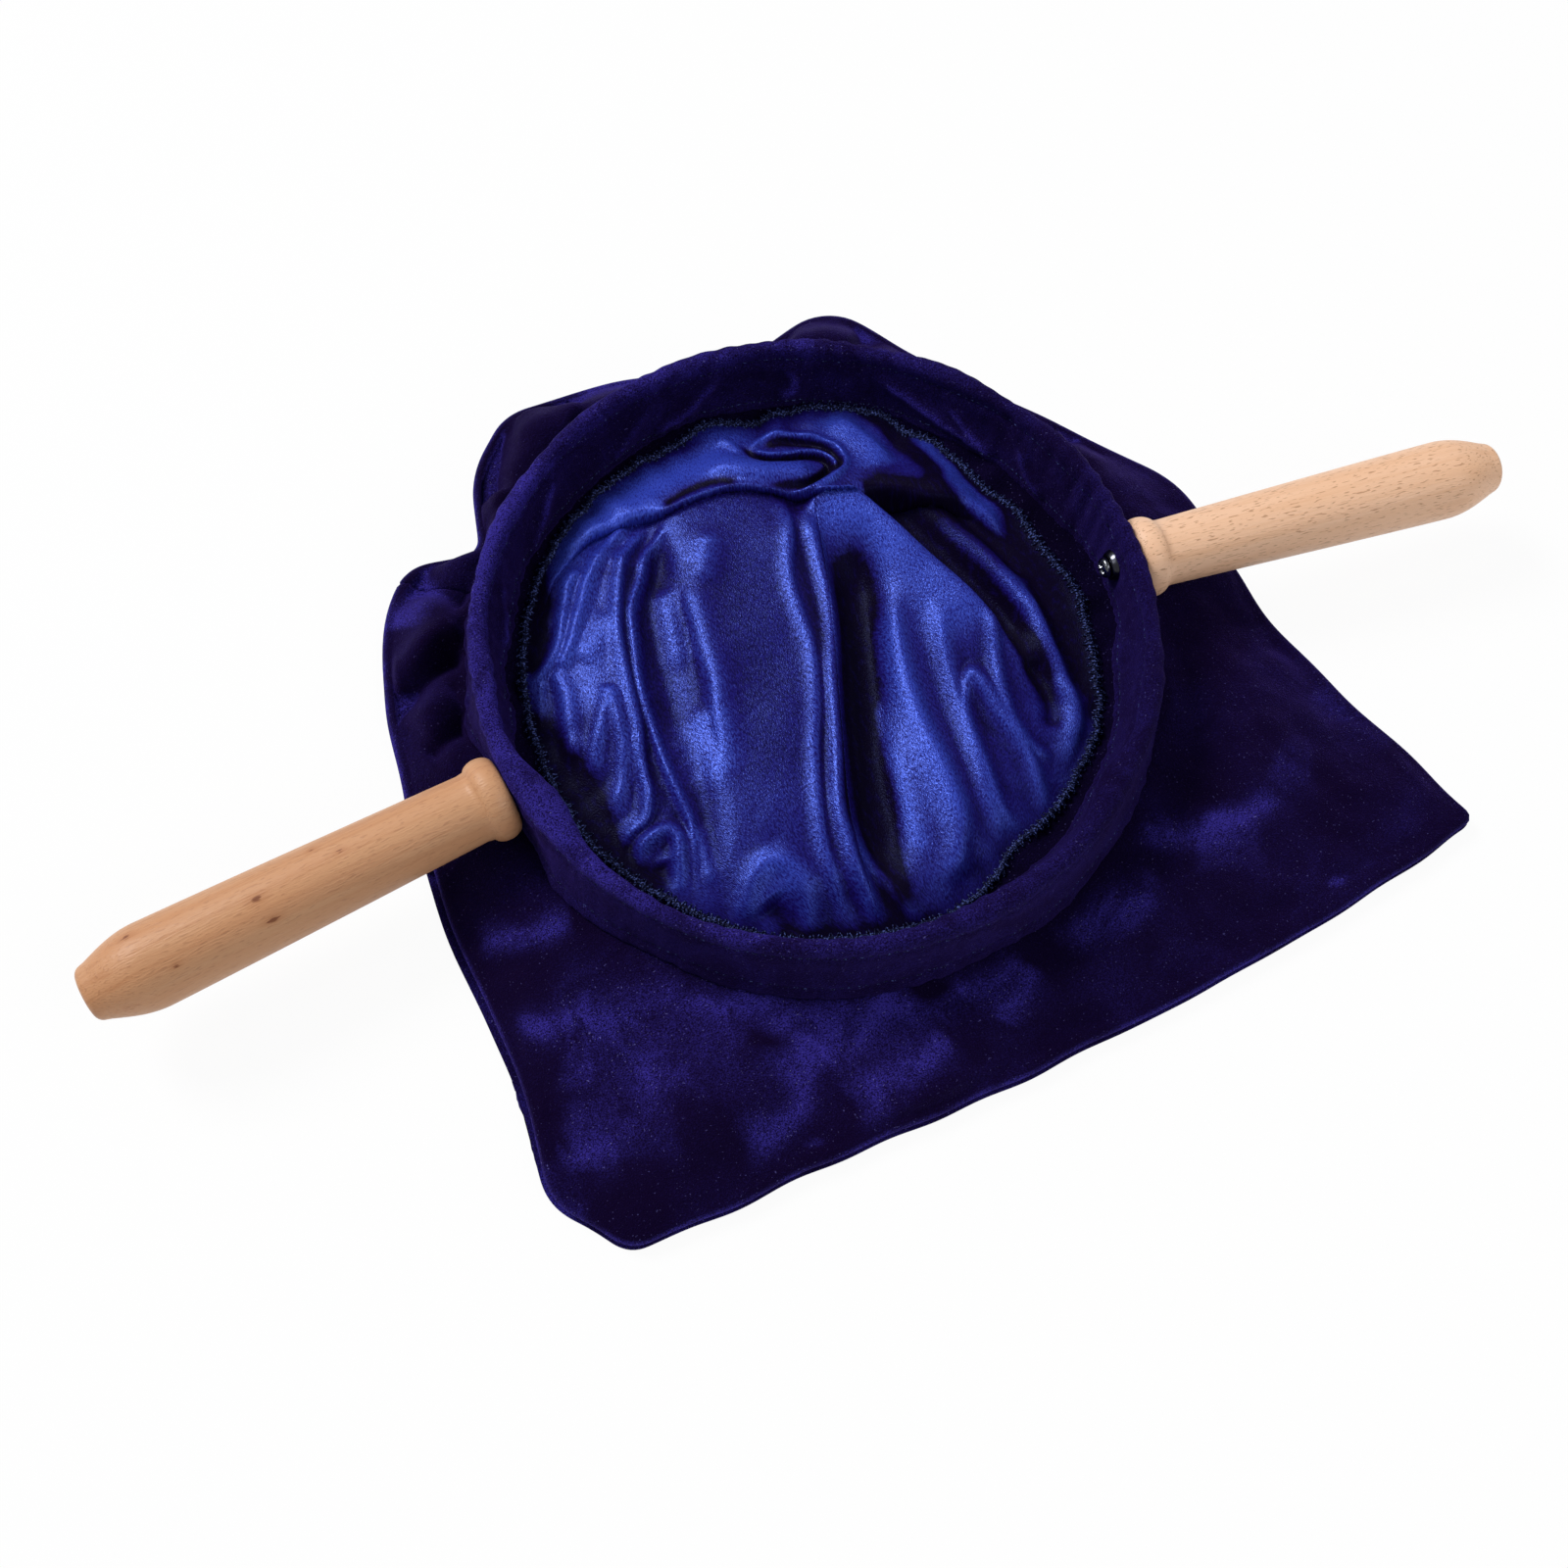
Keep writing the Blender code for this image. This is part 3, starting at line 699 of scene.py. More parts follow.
@dataclass(frozen=True)
class Mouth:
    """The hoop's place and the run of its casing, which the other cloth pieces follow."""

    centre: Vector
    rim_radius: float = 0.120
    velvet: float = 0.0016
    pocket: float = 0.0030
    outer_drop: float = 0.031
    inner_drop: float = 0.028
    outer_flare: float = 0.0048
    inner_lean: float = 0.0050
    part_drop: float = 0.006
    press_near: float = math.radians(7.5)
    press_far: float = math.radians(17.0)
    pressed_lean: float = 0.35
    pressed_looseness: float = 0.3
    rim_waver: float = 0.00045
    wall_waver: float = 0.00050
    hem_waver: float = 0.0007
    ripple: float = 0.00022
    deepest_dip: float = 0.0006
    lean_power: float = 1.3
    flare_power: float = 1.4
    loose_drops: tuple[float, float] = (0.010, 0.030)
    gather_drops: tuple[float, float] = (0.004, 0.026)
    gather_fade: float = 0.8
    seam_wander: float = 0.00035
    seam_rise: float = 0.0002
    stitch_sink: float = 0.00062
    sink_waver: float = 0.00010
    stitch_reach: float = 0.0011
    puff: float = 0.00030
    puff_waver: float = 0.00016
    puff_below: float = 0.0034
    puff_reach: float = 0.0024
    stitch_rows: tuple[float, float] = (0.0066, 0.0252)
    stitches: int = 262
    handholds: tuple[Handhold, ...] = (
        Handhold("left", math.pi + math.radians(6.0)),
        Handhold("right", -math.radians(6.0)),
    )
    gathers: tuple[Gather, ...] = (
        Gather(194.0, 9.0, 0.0062, 0.0022), Gather(-53.0, 7.0, 0.0046, 0.0010),
        Gather(-132.0, 10.0, -0.0012, 0.0), Gather(-84.0, 16.0, 0.0016, 0.0),
        Gather(168.0, 7.0, 0.0022, 0.0006),
    )
    wall_creases: tuple[tuple[Path, float, float], ...] = (
        (((84, 7), (92, 21), (101, 25)), 0.0020, 0.0030),
        (((98, 9), (105, 19), (111, 25)), 0.0018, 0.0030),
        (((57, 10), (47, 17), (40, 21), (33, 24), (26, 27)), 0.0020, 0.0026),
        (((41, 12), (33, 22), (27, 26)), 0.0014, 0.0024),
        (((24, 13), (20, 21), (14, 26)), 0.0016, 0.0024),
        (((72, 8), (70, 18), (74, 26)), 0.0014, 0.0040),
        (((122, 8), (128, 18), (136, 26)), 0.0016, 0.0040),
        (((146, 9), (150, 17), (158, 26)), 0.0016, 0.0040),
    )
    seam_route: tuple[tuple[float, float, float], ...] = (
        (108, 103.0, 26.5), (102, 101.5, 26), (96, 102.0, 26), (90, 104.5, 25.5), (85, 104.0, 26),
        (81, 101.5, 26.5), (77, 102.5, 27), (71, 105.5, 26.5), (64, 107.0, 26), (57, 107.5, 26),
        (51, 107.0, 26.5), (46, 103.5, 27.5), (40, 104.5, 28), (34, 101.5, 28.5), (24, 98.5, 29),
        (16, 100.0, 29), (8, 98.0, 29), (1, 99.5, 29), (-5, 101.5, 29), (-15, 101.0, 29),
        (-24, 101.5, 29), (-36, 103.5, 29), (-51, 101.5, 29), (-58, 101.0, 29), (-66, 98.8, 29),
        (-72, 99.5, 29), (-78, 103.0, 29), (-88, 106.0, 29), (-104, 105.5, 29), (-122, 106.0, 29),
        (-140, 104.5, 29), (-160, 105.0, 29), (-182, 103.0, 29), (-206, 103.5, 29),
        (-230, 104.0, 28),
    )

    @property
    def middle_radius(self) -> float:
        """The radius half way between the casing's two legs."""
        return self.rim_radius - self.velvet - self.pocket / 2

    @property
    def half(self) -> float:
        """Half the distance between the legs, each on the middle of its cloth."""
        return (self.pocket + self.velvet) / 2

    @property
    def fold_drop(self) -> float:
        """The drop at which the fold's half circle ends."""
        return self.velvet / 2 + self.half

    @property
    def runs(self) -> tuple[float, float, float]:
        """The cloth's length on the inner leg, over the fold, and on the outer leg."""
        return (
            self.inner_drop - self.fold_drop,
            math.pi * self.half,
            self.outer_drop - self.fold_drop,
        )

    def freedom(self, azimuth: Array) -> Array:
        """0 where a handle presses the casing flat, 1 well away from both."""
        turns = [turn_between(azimuth, hold.azimuth) for hold in self.handholds]
        return ease(self.press_near, self.press_far, np.minimum(*turns))

    def casing(self, azimuth: Array, share: Array) -> tuple[Array, Array]:
        """The casing's cloth.

        Args:
            azimuth: Azimuths.
            share: Shares of the way from the inner hem over the fold to the outer hem.

        Returns:
            Rows of x, y and z, and rows of the direction that the cloth's face looks in.
        """
        inner, arc, outer = self.runs
        run = share * (inner + arc + outer)
        turn = np.clip(math.pi - (run - inner) / self.half, 0.0, math.pi)
        drop = self.fold_drop - self.half * np.sin(turn)
        drop = np.where(run < inner, self.inner_drop - run, drop)
        drop = np.where(run > inner + arc, self.fold_drop + run - inner - arc, drop)
        free = self.freedom(azimuth)
        inside, outside = run < inner + arc / 2, run >= inner + arc / 2
        lowest = np.where(inside, self.inner_drop, self.outer_drop)
        below = np.clip((drop - self.part_drop) / (lowest - self.part_drop), 0.0, 1.0)
        radius = self.middle_radius + self.half * np.cos(turn)
        lean = self.pressed_lean + (1 - self.pressed_lean) * free
        radius = radius - inside * self.inner_lean * lean * below**self.lean_power
        radius = radius + outside * self.outer_flare * free * below**self.flare_power
        height = -drop
        swell = self.swell(azimuth, drop, inside, free)
        for gather in self.gathers:
            away = turn_between(azimuth, math.radians(gather.degrees))
            near = hump(away, math.radians(gather.half_degrees))
            inward = 0.5 - 0.5 * np.cos(turn)
            fade = 1.0 - ease(*self.gather_drops, drop) * self.gather_fade
            radius = radius - gather.inward * near * inward * fade
            height = height + gather.lift * near * np.sin(turn)
        radius = radius + swell * np.cos(turn)
        height = height + np.maximum(swell, -self.deepest_dip) * np.sin(turn)
        height = height + self.rim_waver * Waver(5, 3, 11).round(azimuth) * (1.0 - below)
        faces = at(azimuth, np.cos(turn), np.sin(turn))
        return at(azimuth, radius, height), faces

    def swell(self, azimuth: Array, drop: Array, inside: Array, free: Array) -> Array:
        """How far the casing stands off its even section, out of the pocket."""
        loose = self.pressed_looseness + (1 - self.pressed_looseness) * free
        total = self.wall_waver * Waver(11, 4, 15).round(azimuth, drop) * loose
        hem = ease(*self.loose_drops, drop)
        total += self.hem_waver * hem * loose * Waver(12, 6, 22).round(azimuth, drop)
        total += self.ripple * Waver(13, 40, 110).round(azimuth, drop)
        pucker = Waver(14, 120, 230).round(azimuth)
        for row in self.stitch_rows:
            sunk = self.stitch_sink + self.sink_waver * pucker
            raised = self.puff + self.puff_waver * pucker
            total -= sunk * hump(drop - row, self.stitch_reach)
            total += raised * hump(drop - row - self.puff_below, self.puff_reach)
        flat = np.column_stack([azimuth % (2 * math.pi) * self.rim_radius, drop])
        for crease in self.creases():
            total += inside * crease.over(flat)
        return total

    def creases(self) -> list[Crease]:
        """The inner wall's creases, on a wall rolled out flat: millimetres round and down."""
        around = self.rim_radius / MM
        return [
            Crease(tuple((math.radians(turn) * around, low) for turn, low in path), height, width)
            for path, height, width in self.wall_creases
        ]

    def hem(self, azimuth: Array) -> Array:
        """The outer hem's middle line."""
        return self.casing(azimuth, np.ones(len(azimuth)))[0]

    def seam(self, azimuth: Array) -> tuple[Array, Array]:
        """The overlock seam's radius and drop, as a smooth closed route."""
        route = np.array(sorted((d % 360, r, low) for d, r, low in self.seam_route))
        before, after = route[-3:].copy(), route[:3].copy()
        before[:, 0] -= 360
        after[:, 0] += 360
        dense = flowing([*before, *route, *after], 12)
        degrees = np.degrees(azimuth) % 360
        radius = np.interp(degrees, dense[:, 0], dense[:, 1]) * MM
        drop = np.interp(degrees, dense[:, 0], dense[:, 2]) * MM
        uneven = Waver(21, 18, 60).round(azimuth)
        return radius + self.seam_wander * uneven, drop - self.seam_rise * uneven


@dataclass
class Casing:
    """The velvet casing sewn round the hoop, with its two rows of stitching."""

    mouth: Mouth
    finish: VelvetFinish
    stitch_finish: ThreadFinish
    around: int = 620
    over: int = 46
    stitch_length: float = 0.0023
    stitch_width: float = 0.00062
    stitch_flatness: float = 0.8
    stitch_lift: float = 0.00005
    # Sheen painted into the velvet's colour: a little everywhere, more on the fold's side towards
    # the key light, and highlights on the inner creases' crests.
    usual_painted_sheen: float = 0.12
    lit_side_painted_sheen: float = 0.62
    lit_side_azimuth: float = math.radians(150.0)
    lit_fold_drops: tuple[float, float] = (0.001, 0.010)
    crest_power: int = 9

    def build(self) -> None:
        """Builds the cloth and the stitches."""
        mouth = self.mouth
        length = 2 * math.pi * mouth.rim_radius
        width = sum(mouth.runs)
        cloth = Cloth("hoop_casing_velvet", self.around, self.over)
        mesh = cloth.laid(self.place, (length, width), mouth.centre, merge=WELD)
        casing = shown("hoop_casing_velvet", mesh, BAG)
        thicken(casing, mouth.velvet)
        self.brush(casing)
        mesh.materials.append(self.finish.made())
        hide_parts("hoop_casing")
        stitching = self.stitching()
        log.info("casing: %d faces and its stitches", len(mesh.polygons))

    def place(self, across: Array, along: Array) -> Array:
        """Puts the cloth's shares round the hoop."""
        return self.mouth.casing(across * 2 * math.pi, along)[0]

    def brush(self, casing: Piece) -> None:
        """Paints sheen on the side of the fold that faces the key light, and painted highlights on
        the crests of the inner wall's creases.
        """
        spots = spots_of(casing, self.mouth.centre)
        azimuth = np.arctan2(spots[:, 1], spots[:, 0])
        fold = 1.0 - ease(*self.lit_fold_drops, -spots[:, 2])
        # Painted sheen, strongest on the side of the fold that faces the key light.
        lit = 0.5 + 0.5 * np.cos(azimuth - self.lit_side_azimuth)
        painted_sheen = self.usual_painted_sheen + self.lit_side_painted_sheen * fold * lit**1.5
        inside = np.hypot(spots[:, 0], spots[:, 1]) < self.mouth.middle_radius - 0.001
        flat = np.column_stack([azimuth % (2 * math.pi) * self.mouth.rim_radius, -spots[:, 2]])
        # Painted highlights along the crests of the inner wall's creases.
        for crease in self.mouth.creases():
            crest = np.clip(crease.over(flat) / crease.height, 0.0, 1.0) ** self.crest_power
            painted_sheen += inside * self.lit_side_painted_sheen * crest
        paint(casing, "painted_sheen", np.clip(painted_sheen, 0.0, 1.0))

    def stitching(self) -> Piece:
        """Both rows of stitches, on the outer leg and on the inner one."""
        mouth = self.mouth
        inner, arc, outer = mouth.runs
        total = inner + arc + outer
        stitch = self.stitch()
        form = bmesh.new()
        azimuth = np.arange(mouth.stitches) * 2 * math.pi / mouth.stitches
        for row in mouth.stitch_rows:
            for run in (mouth.inner_drop - row, inner + arc + row - mouth.fold_drop):
                spots, faces = mouth.casing(azimuth, np.full(len(azimuth), run / total))
                spots = spots + faces * (mouth.velvet / 2 + self.stitch_lift)
                for angle, spot, face in zip(azimuth, spots, faces):
                    ahead = Vector((-math.sin(angle), math.cos(angle), 0.0))
                    out = Vector(face)
                    frame = Matrix((ahead, out.cross(ahead), out)).transposed().to_4x4()
                    frame.translation = Vector(spot) + mouth.centre
                    placed = stitch.copy()
                    placed.transform(frame)
                    form.from_mesh(placed)
                    bpy.data.meshes.remove(placed)
        bpy.data.meshes.remove(stitch)
        mesh = meshed("casing_stitches", form, smooth=True)
        mesh.materials.append(self.stitch_finish.made())
        return shown("casing_stitches", mesh, BAG)

    def stitch(self) -> Mesh:
        """One stitch, lying along X."""
        form = bmesh.new()
        thick = self.stitch_width / 2
        size = (self.stitch_length / 2, thick, thick * self.stitch_flatness, 1.0)
        bmesh.ops.create_uvsphere(
            form, u_segments=6, v_segments=4, radius=1.0, matrix=Matrix.Diagonal(size)
        )
        return meshed("stitch", form)


@dataclass
class Facing:
    """The velvet strip between the casing's inner hem and the overlock seam."""

    mouth: Mouth
    finish: VelvetFinish
    around: int = 420
    down: int = 10
    width: float = 0.014
    tuck: float = 0.0004
    thinned: float = 0.6
    # An even, faint sheen painted into the strip's colour.
    painted_sheen: float = 0.1
    sag: float = 0.0016
    sag_waver: float = 0.0010
    length: float = 2 * math.pi * 0.106

    def build(self) -> None:
        """Builds the strip, which sags a little between its two edges."""
        mouth = self.mouth

        def place(across: Array, along: Array) -> Array:
            azimuth = across * 2 * math.pi
            top = mouth.casing(azimuth, np.zeros(len(azimuth)))[0]
            top_radius = np.hypot(top[:, 0], top[:, 1]) + self.tuck
            radius, drop = mouth.seam(azimuth)
            spread = top_radius * (1 - along) + radius * along
            height = (top[:, 2] + self.tuck) * (1 - along) - drop * along
            sag = self.sag + self.sag_waver * Waver(31, 12, 44).round(azimuth)
            return at(azimuth, spread, height - sag * np.sin(math.pi * along))

        cloth = Cloth("velvet_facing_strip", self.around, self.down)
        length = self.length
        mesh = cloth.laid(place, (length, self.width), mouth.centre, merge=WELD)
        facing = shown("velvet_facing_strip", mesh, BAG)
        thicken(facing, mouth.velvet * self.thinned)
        paint(facing, "painted_sheen", np.full(len(mesh.vertices), self.painted_sheen))
        mesh.materials.append(self.finish.made())
        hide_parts("velvet_facing")


@dataclass
class OverlockSeam:
    """The raw edges of facing and lining, bound by looped thread."""

    mouth: Mouth
    finish: ThreadFinish
    loops: int = 206
    per_loop: int = 16
    wide: float = 0.0024
    high: float = 0.0015
    core_share: float = 0.85
    thread_radius: float = 0.00024
    edge_steps: int = 360
    unevenness: float = 0.12

    def build(self) -> None:
        """Builds the bound edge and its two crossing threads as one piece."""
        made = [self.edge(), self.looping("one", 1), self.looping("other", -1)]
        form = bmesh.new()
        for mesh in made:
            form.from_mesh(mesh)
        mesh = made[0]
        form.to_mesh(mesh)
        form.free()
        mesh.materials.append(self.finish.made())
        seam = shown("overlock_binding", mesh, BAG)
        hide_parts("overlock_seam")
        log.info("overlock: %d faces", len(mesh.polygons))

    def core(self, azimuth: Array) -> tuple[Array, Array]:
        """The seam's middle line, and the direction out from the hoop's middle."""
        radius, drop = self.mouth.seam(azimuth)
        outward = at(azimuth, np.ones(len(azimuth)), np.zeros(len(azimuth)))
        return at(azimuth, radius, -drop), outward

    def edge(self) -> Mesh:
        """The folded raw edge under the thread."""
        azimuth = np.arange(self.edge_steps) * 2 * math.pi / self.edge_steps
        spots, outward = self.core(azimuth)
        radius = self.high * self.core_share
        return thread("overlock_binding", spots, outward, radius, 8, self.mouth.centre)

    def looping(self, name: str, hand: int) -> Mesh:
        """One thread wound round the edge, to the left or to the right."""
        count = self.loops * self.per_loop
        azimuth = np.arange(count) * 2 * math.pi / count
        spots, outward = self.core(azimuth)
        uneven = Waver(41 + hand, 40, 160).round(azimuth)
        turn = hand * azimuth * self.loops + 0.5 * uneven
        up = np.tile([0.0, 0.0, 1.0], (count, 1))
        swing = np.cos(turn)[:, None] * outward + np.sin(turn)[:, None] * up
        wide = self.wide * (1 + self.unevenness * uneven)
        offset = (wide * np.cos(turn))[:, None] * outward
        offset = offset + (self.high * np.sin(turn))[:, None] * up
        return thread(f"loop_{name}", spots + offset, unit(swing), self.thread_radius, 5,
                      self.mouth.centre)


# The lining


@dataclass(frozen=True)
class Stroke:
    """A stroke of painted light or shade on cloth: path and half width in millimetres."""

    path: Path
    width: float
    strength: float
    ends: float = 0.15

    def over(self, points: Array) -> Array:
        """Its strength at flat points, dying away at both ends."""
        away, share = beside(flowing(self.path) * MM, points)
        return self.strength * hump(away, self.width * MM) * fading(share, self.ends, self.ends)


@dataclass(frozen=True)
class Fold:
    """A fold standing in the satin, in millimetres about the hoop's middle.

    The path runs from the far side of the mouth to the near one, so its lit side is on the
    right of the way of travel and its shaded side on the left. It leans over to the shaded side.
    """

    name: str
    path: Path
    height: float
    lit: float
    shade: float
    lean: float = 0.0
    start: float = 0.18
    end: float = 0.22
    power: float = 2.0
    reach: float = 2.6

    def over(self, flat: Array) -> tuple[Array, Array]:
        """The fold's height at flat points, and how far they shift, both in metres."""
        knots = flowing(self.path) * MM
        reach = self.reach * max(self.lit, self.shade) * MM
        low, high = knots.min(axis=0) - reach, knots.max(axis=0) + reach
        near = np.all((flat > low) & (flat < high), axis=1)
        height, shift = np.zeros(len(flat)), np.zeros((len(flat), 2))
        if not near.any():
            return height, shift
        away, share = beside(knots, flat[near])
        width = np.where(away > 0, self.shade, self.lit) * MM
        shape = np.exp(-np.abs(away / width) ** self.power) * fading(share, self.start, self.end)
        height[near] = self.height * MM * shape
        if self.lean:
            shift[near] = leftward(knots, share) * (self.lean * MM * shape)[:, None]
        return height, shift


@dataclass(frozen=True)
class Overlap:
    """Satin lying over itself: on the left of its path it is a rolled step higher.

    From the roll the upper layer slopes down again, away from the path.
    """

    path: Path
    step: float
    roll: float
    fall: float
    spread: float
    undercut: float
    lip: float = 3.0
    lip_place: float = 1.5
    overhang: float = 0.4
    start: float = 0.08
    end: float = 0.10

    def over(self, flat: Array) -> tuple[Array, Array, Array]:
        """The upper layer's height at flat points, their shift in metres, and its cover."""
        knots = flowing(self.path) * MM
        away, share = beside(knots, flat)
        ends = fading(share, self.start, self.end)
        rolled = np.clip(away / (self.roll * MM), 0.0, 1.0)
        rise = np.sqrt(1.0 - np.square(1.0 - rolled))
        fall = ease(self.roll * MM * 0.6, self.spread * MM, away)
        height = (self.step * rise - self.fall * fall) * MM
        over = hump(away - self.lip_place * MM, self.lip * MM) * (away > -self.overhang * MM)
        cover = ease(-self.overhang * MM, self.roll * MM, away) * ends
        shift = -leftward(knots, share) * (self.undercut * MM * over * ends)[:, None]
        return height * ends, shift, cover


@dataclass
class Lining:
    """The satin lining: two halves sewn together down the middle, pushed up into the mouth."""

    mouth: Mouth
    finish_left: SatinFinish
    finish_right: SatinFinish
    satin: float = 0.0006
    grid: int = 300
    middle: Vector = field(default_factory=lambda: Vector((0.0056, 0.0)))
    seam_azimuth: float = math.radians(70.5)
    edge_inset: float = 0.0006
    apron: Overlap = Overlap(
        ((-84, 52), (-77, 61), (-71, 66), (-59, 73), (-48, 74), (-38, 73.5), (-28, 71.5), (-14, 72),
            (-2, 70.5), (10, 65), (19, 60), (32, 54.5), (44, 50), (58, 44), (70, 38), (82, 28)),
        step=7.0, roll=4.0, fall=5.0, spread=24.0, undercut=1.8,
    )
    swells: tuple[Fold, ...] = (
        Fold("plateau", ((-4, 84), (-8, 62), (-11, 38), (-14, 15), (-21, -11), (-28, -35),
            (-36, -57), (-40, -75), (-42, -97)), 5.0, 24.5, 24.5, 0, 0.06, 0.1, 8),
        Fold("crown", ((12, 58), (2, 30), (-3, 0), (-16, -30), (-26, -58), (-30, -92)), 1.8, 17, 5,
            0, 0.1, 0.1),
        Fold("wing", ((30, 66), (38, 52), (44.5, 37), (51, 20), (57, 4), (61.5, -11), (64.5, -27),
            (66, -50)), 8.6, 18, 2.8, 1.2, 0.06, 0.40, 1.8),
        Fold("left_swell", ((-48, 68), (-66, 34), (-74, 4), (-80, -24)), 4.2, 20, 9, 0, 0.1, 0.3,
            2.4),
        Fold("near_swell", ((22, -34), (22, -60), (22, -98)), 2.0, 22, 18, 0, 0.4, 0.1, 3),
        Fold("hook_swell", ((52, -24), (54, -44), (58, -66)), 1.6, 8, 8, 0, 0.3, 0.3),
    )
    folds: tuple[Fold, ...] = (
        Fold("crinkle", ((72, 76), (77, 66), (78, 58), (77, 49), (79, 40), (83, 31), (87, 23),
            (91, 14), (93, 5)), 3.4, 4.6, 3.6, 0, 0.1, 0.3),
        Fold("crinkle_two", ((80, 60), (82, 50), (85, 40), (90, 30)), 1.4, 2.2, 2.2, 0, 0.2, 0.3),
        Fold("left_edge", ((-40, 75), (-46, 72), (-56, 65), (-64, 57), (-69, 50), (-76, 40),
            (-82, 32), (-90, 26)), 3.4, 2.6, 3.4, 0.0, 0.1, 0.1),
        Fold("left_hook", ((-63, 61), (-70, 60), (-76, 50), (-82, 39), (-87, 33), (-96, 29),
            (-99, 36)), 3.8, 2.6, 2.8, 0.0, 0.1, 0.1),
        Fold("left_tail", ((-98, 36), (-97, 29), (-99, 22), (-102, 14)), 2.8, 2.2, 2.2),
        Fold("left_tail_two", ((-92, 30), (-97, 19), (-102, 5)), 2.8, 2.2, 2.2),
        Fold("low_one", ((-88, 30), (-88, 18), (-91, 7), (-95, -7)), 3.0, 2.8, 4.0, 0.3, 0.1),
        Fold("left_wave", ((-34, 72), (-44, 65), (-50, 59), (-56, 48), (-62, 33), (-65, 19),
            (-67, 8), (-69, -4), (-73, -17), (-75, -29), (-79, -36), (-85, -38), (-90, -41),
            (-93, -50)), 3.2, 3.4, 1.8, 0.8, 0.1, 0.1),
        Fold("left_thread", ((-27, 70), (-34, 64), (-41, 59), (-46, 51), (-54, 40), (-58, 28),
            (-62, 14), (-64, 2), (-66, -20), (-66, -32), (-66, -44), (-69, -55), (-75, -74)), 2.8,
            1.6, 2.4, 0.5, 0.1, 0.2),
        Fold("left_patch", ((-60, 38), (-70, 33), (-80, 27)), 1.4, 6, 6),
        Fold("fork_left", ((-72, 15), (-76, 8), (-82, -1), (-91, -15)), 2.0, 3.2, 3.2, 0, 0.1),
        Fold("fork_right", ((-72, 15), (-74, 2), (-76, -8), (-80, -18), (-90, -34)), 2.4, 3.2, 3.2,
            0, 0.1),
        Fold("arch", ((-90, -58), (-88, -51), (-84, -45), (-79, -43), (-74, -43), (-71.5, -47),
            (-74, -55), (-80, -66)), 3.8, 3.0, 3.0, 0.0, 0.1, 0.1),
        Fold("bump", ((-15, 60), (-20, 52), (-25, 44), (-29, 36)), 1.8, 4.5, 6, 0.6, 0.3, 0.3),
        Fold("small", ((-40, 46), (-42, 34), (-44, 22), (-47, 10)), 1.2, 5, 6),
        Fold("brow", ((-33, 44), (-35, 34), (-36, 26), (-38, 15), (-39, 2), (-43, -10), (-46, -24),
            (-50, -40)), 2.2, 2.8, 6.0, 0.6, 0.14, 0.3),
        Fold("brow_foot", ((-46, -2), (-50, -16), (-52, -28), (-55, -42)), 1.8, 4, 6, 0, 0.2, 0.3),
        Fold("long", ((14, 62), (9, 44), (4, 34), (1, 25), (-1, 11), (-3, -3), (-10, -23),
            (-17, -37), (-25, -58), (-29, -72), (-30, -90), (-28, -102)), 1.7, 3.2, 2.2, 0.8, 0.08,
            0.06),
        Fold("seam_fold", ((20, 54), (17, 45), (15, 34), (11, 14), (6, 0), (0, -13), (-9, -36),
            (-18, -57), (-21, -72), (-22, -86), (-20, -104)), 4.8, 3.0, 3.6, 1.4, 0.08, 0.06),
        Fold("second", ((60, 46), (64, 38), (69, 28), (74, 14), (77, 1), (78, -10), (78, -24),
            (76, -40)), 4.2, 5.4, 5.0, 0.2, 0.65, 0.3),
        Fold("right_rim", ((80, 8), (81, -10), (80, -28), (79, -44), (78, -56), (71, -66),
            (60, -76)), 4.2, 5, 2.4, 0.6, 0.25, 0.2),
        Fold("diagonal", ((-18, -62), (-16, -75), (-13, -86), (-11, -96), (-7, -107)), 2.6, 2.8,
            3.2, 0.0, 0.15, 0.08),
        Fold("billow", ((36, 16), (30, 2), (25, -18), (22, -40), (21, -62), (19, -78), (11, -92),
            (0, -103)), 3.6, 5.5, 5.0, 1.0, 0.15, 0.12),
        Fold("stem", ((48, 4), (43, -12), (40, -26), (37, -44), (34, -63), (32, -78), (34, -93)),
            2.6, 3.2, 4.0, 0.6, 0.2, 0.1),
        Fold("arch_left", ((45, -27), (43, -34), (39, -41), (37, -52), (36, -66), (35, -77),
            (37, -86), (42, -92)), 2.6, 2.4, 2.8, 0.0, 0.08, 0.1),
        Fold("arch_right", ((44, -26), (47, -31), (49, -38), (50, -48), (52, -58), (53, -68),
            (52, -78), (51, -89)), 3.2, 3.2, 3.2, 0.2, 0.08, 0.1),
        Fold("hook", ((62, -6), (61, -16), (57, -28), (54, -41), (53, -55), (57, -65), (63, -69)),
            2.6, 2.8, 2.8, 0.2, 0.2, 0.1),
        Fold("middle_arch", ((-62, -84), (-58, -76), (-53, -71), (-46, -69), (-41, -74), (-41, -85),
            (-45, -96)), 2.6, 4.4, 4.4, 0.0, 0.1, 0.1),
        Fold("short", ((-64, -44), (-66, -57), (-68, -68)), 1.8, 2.4, 2.6),
    )
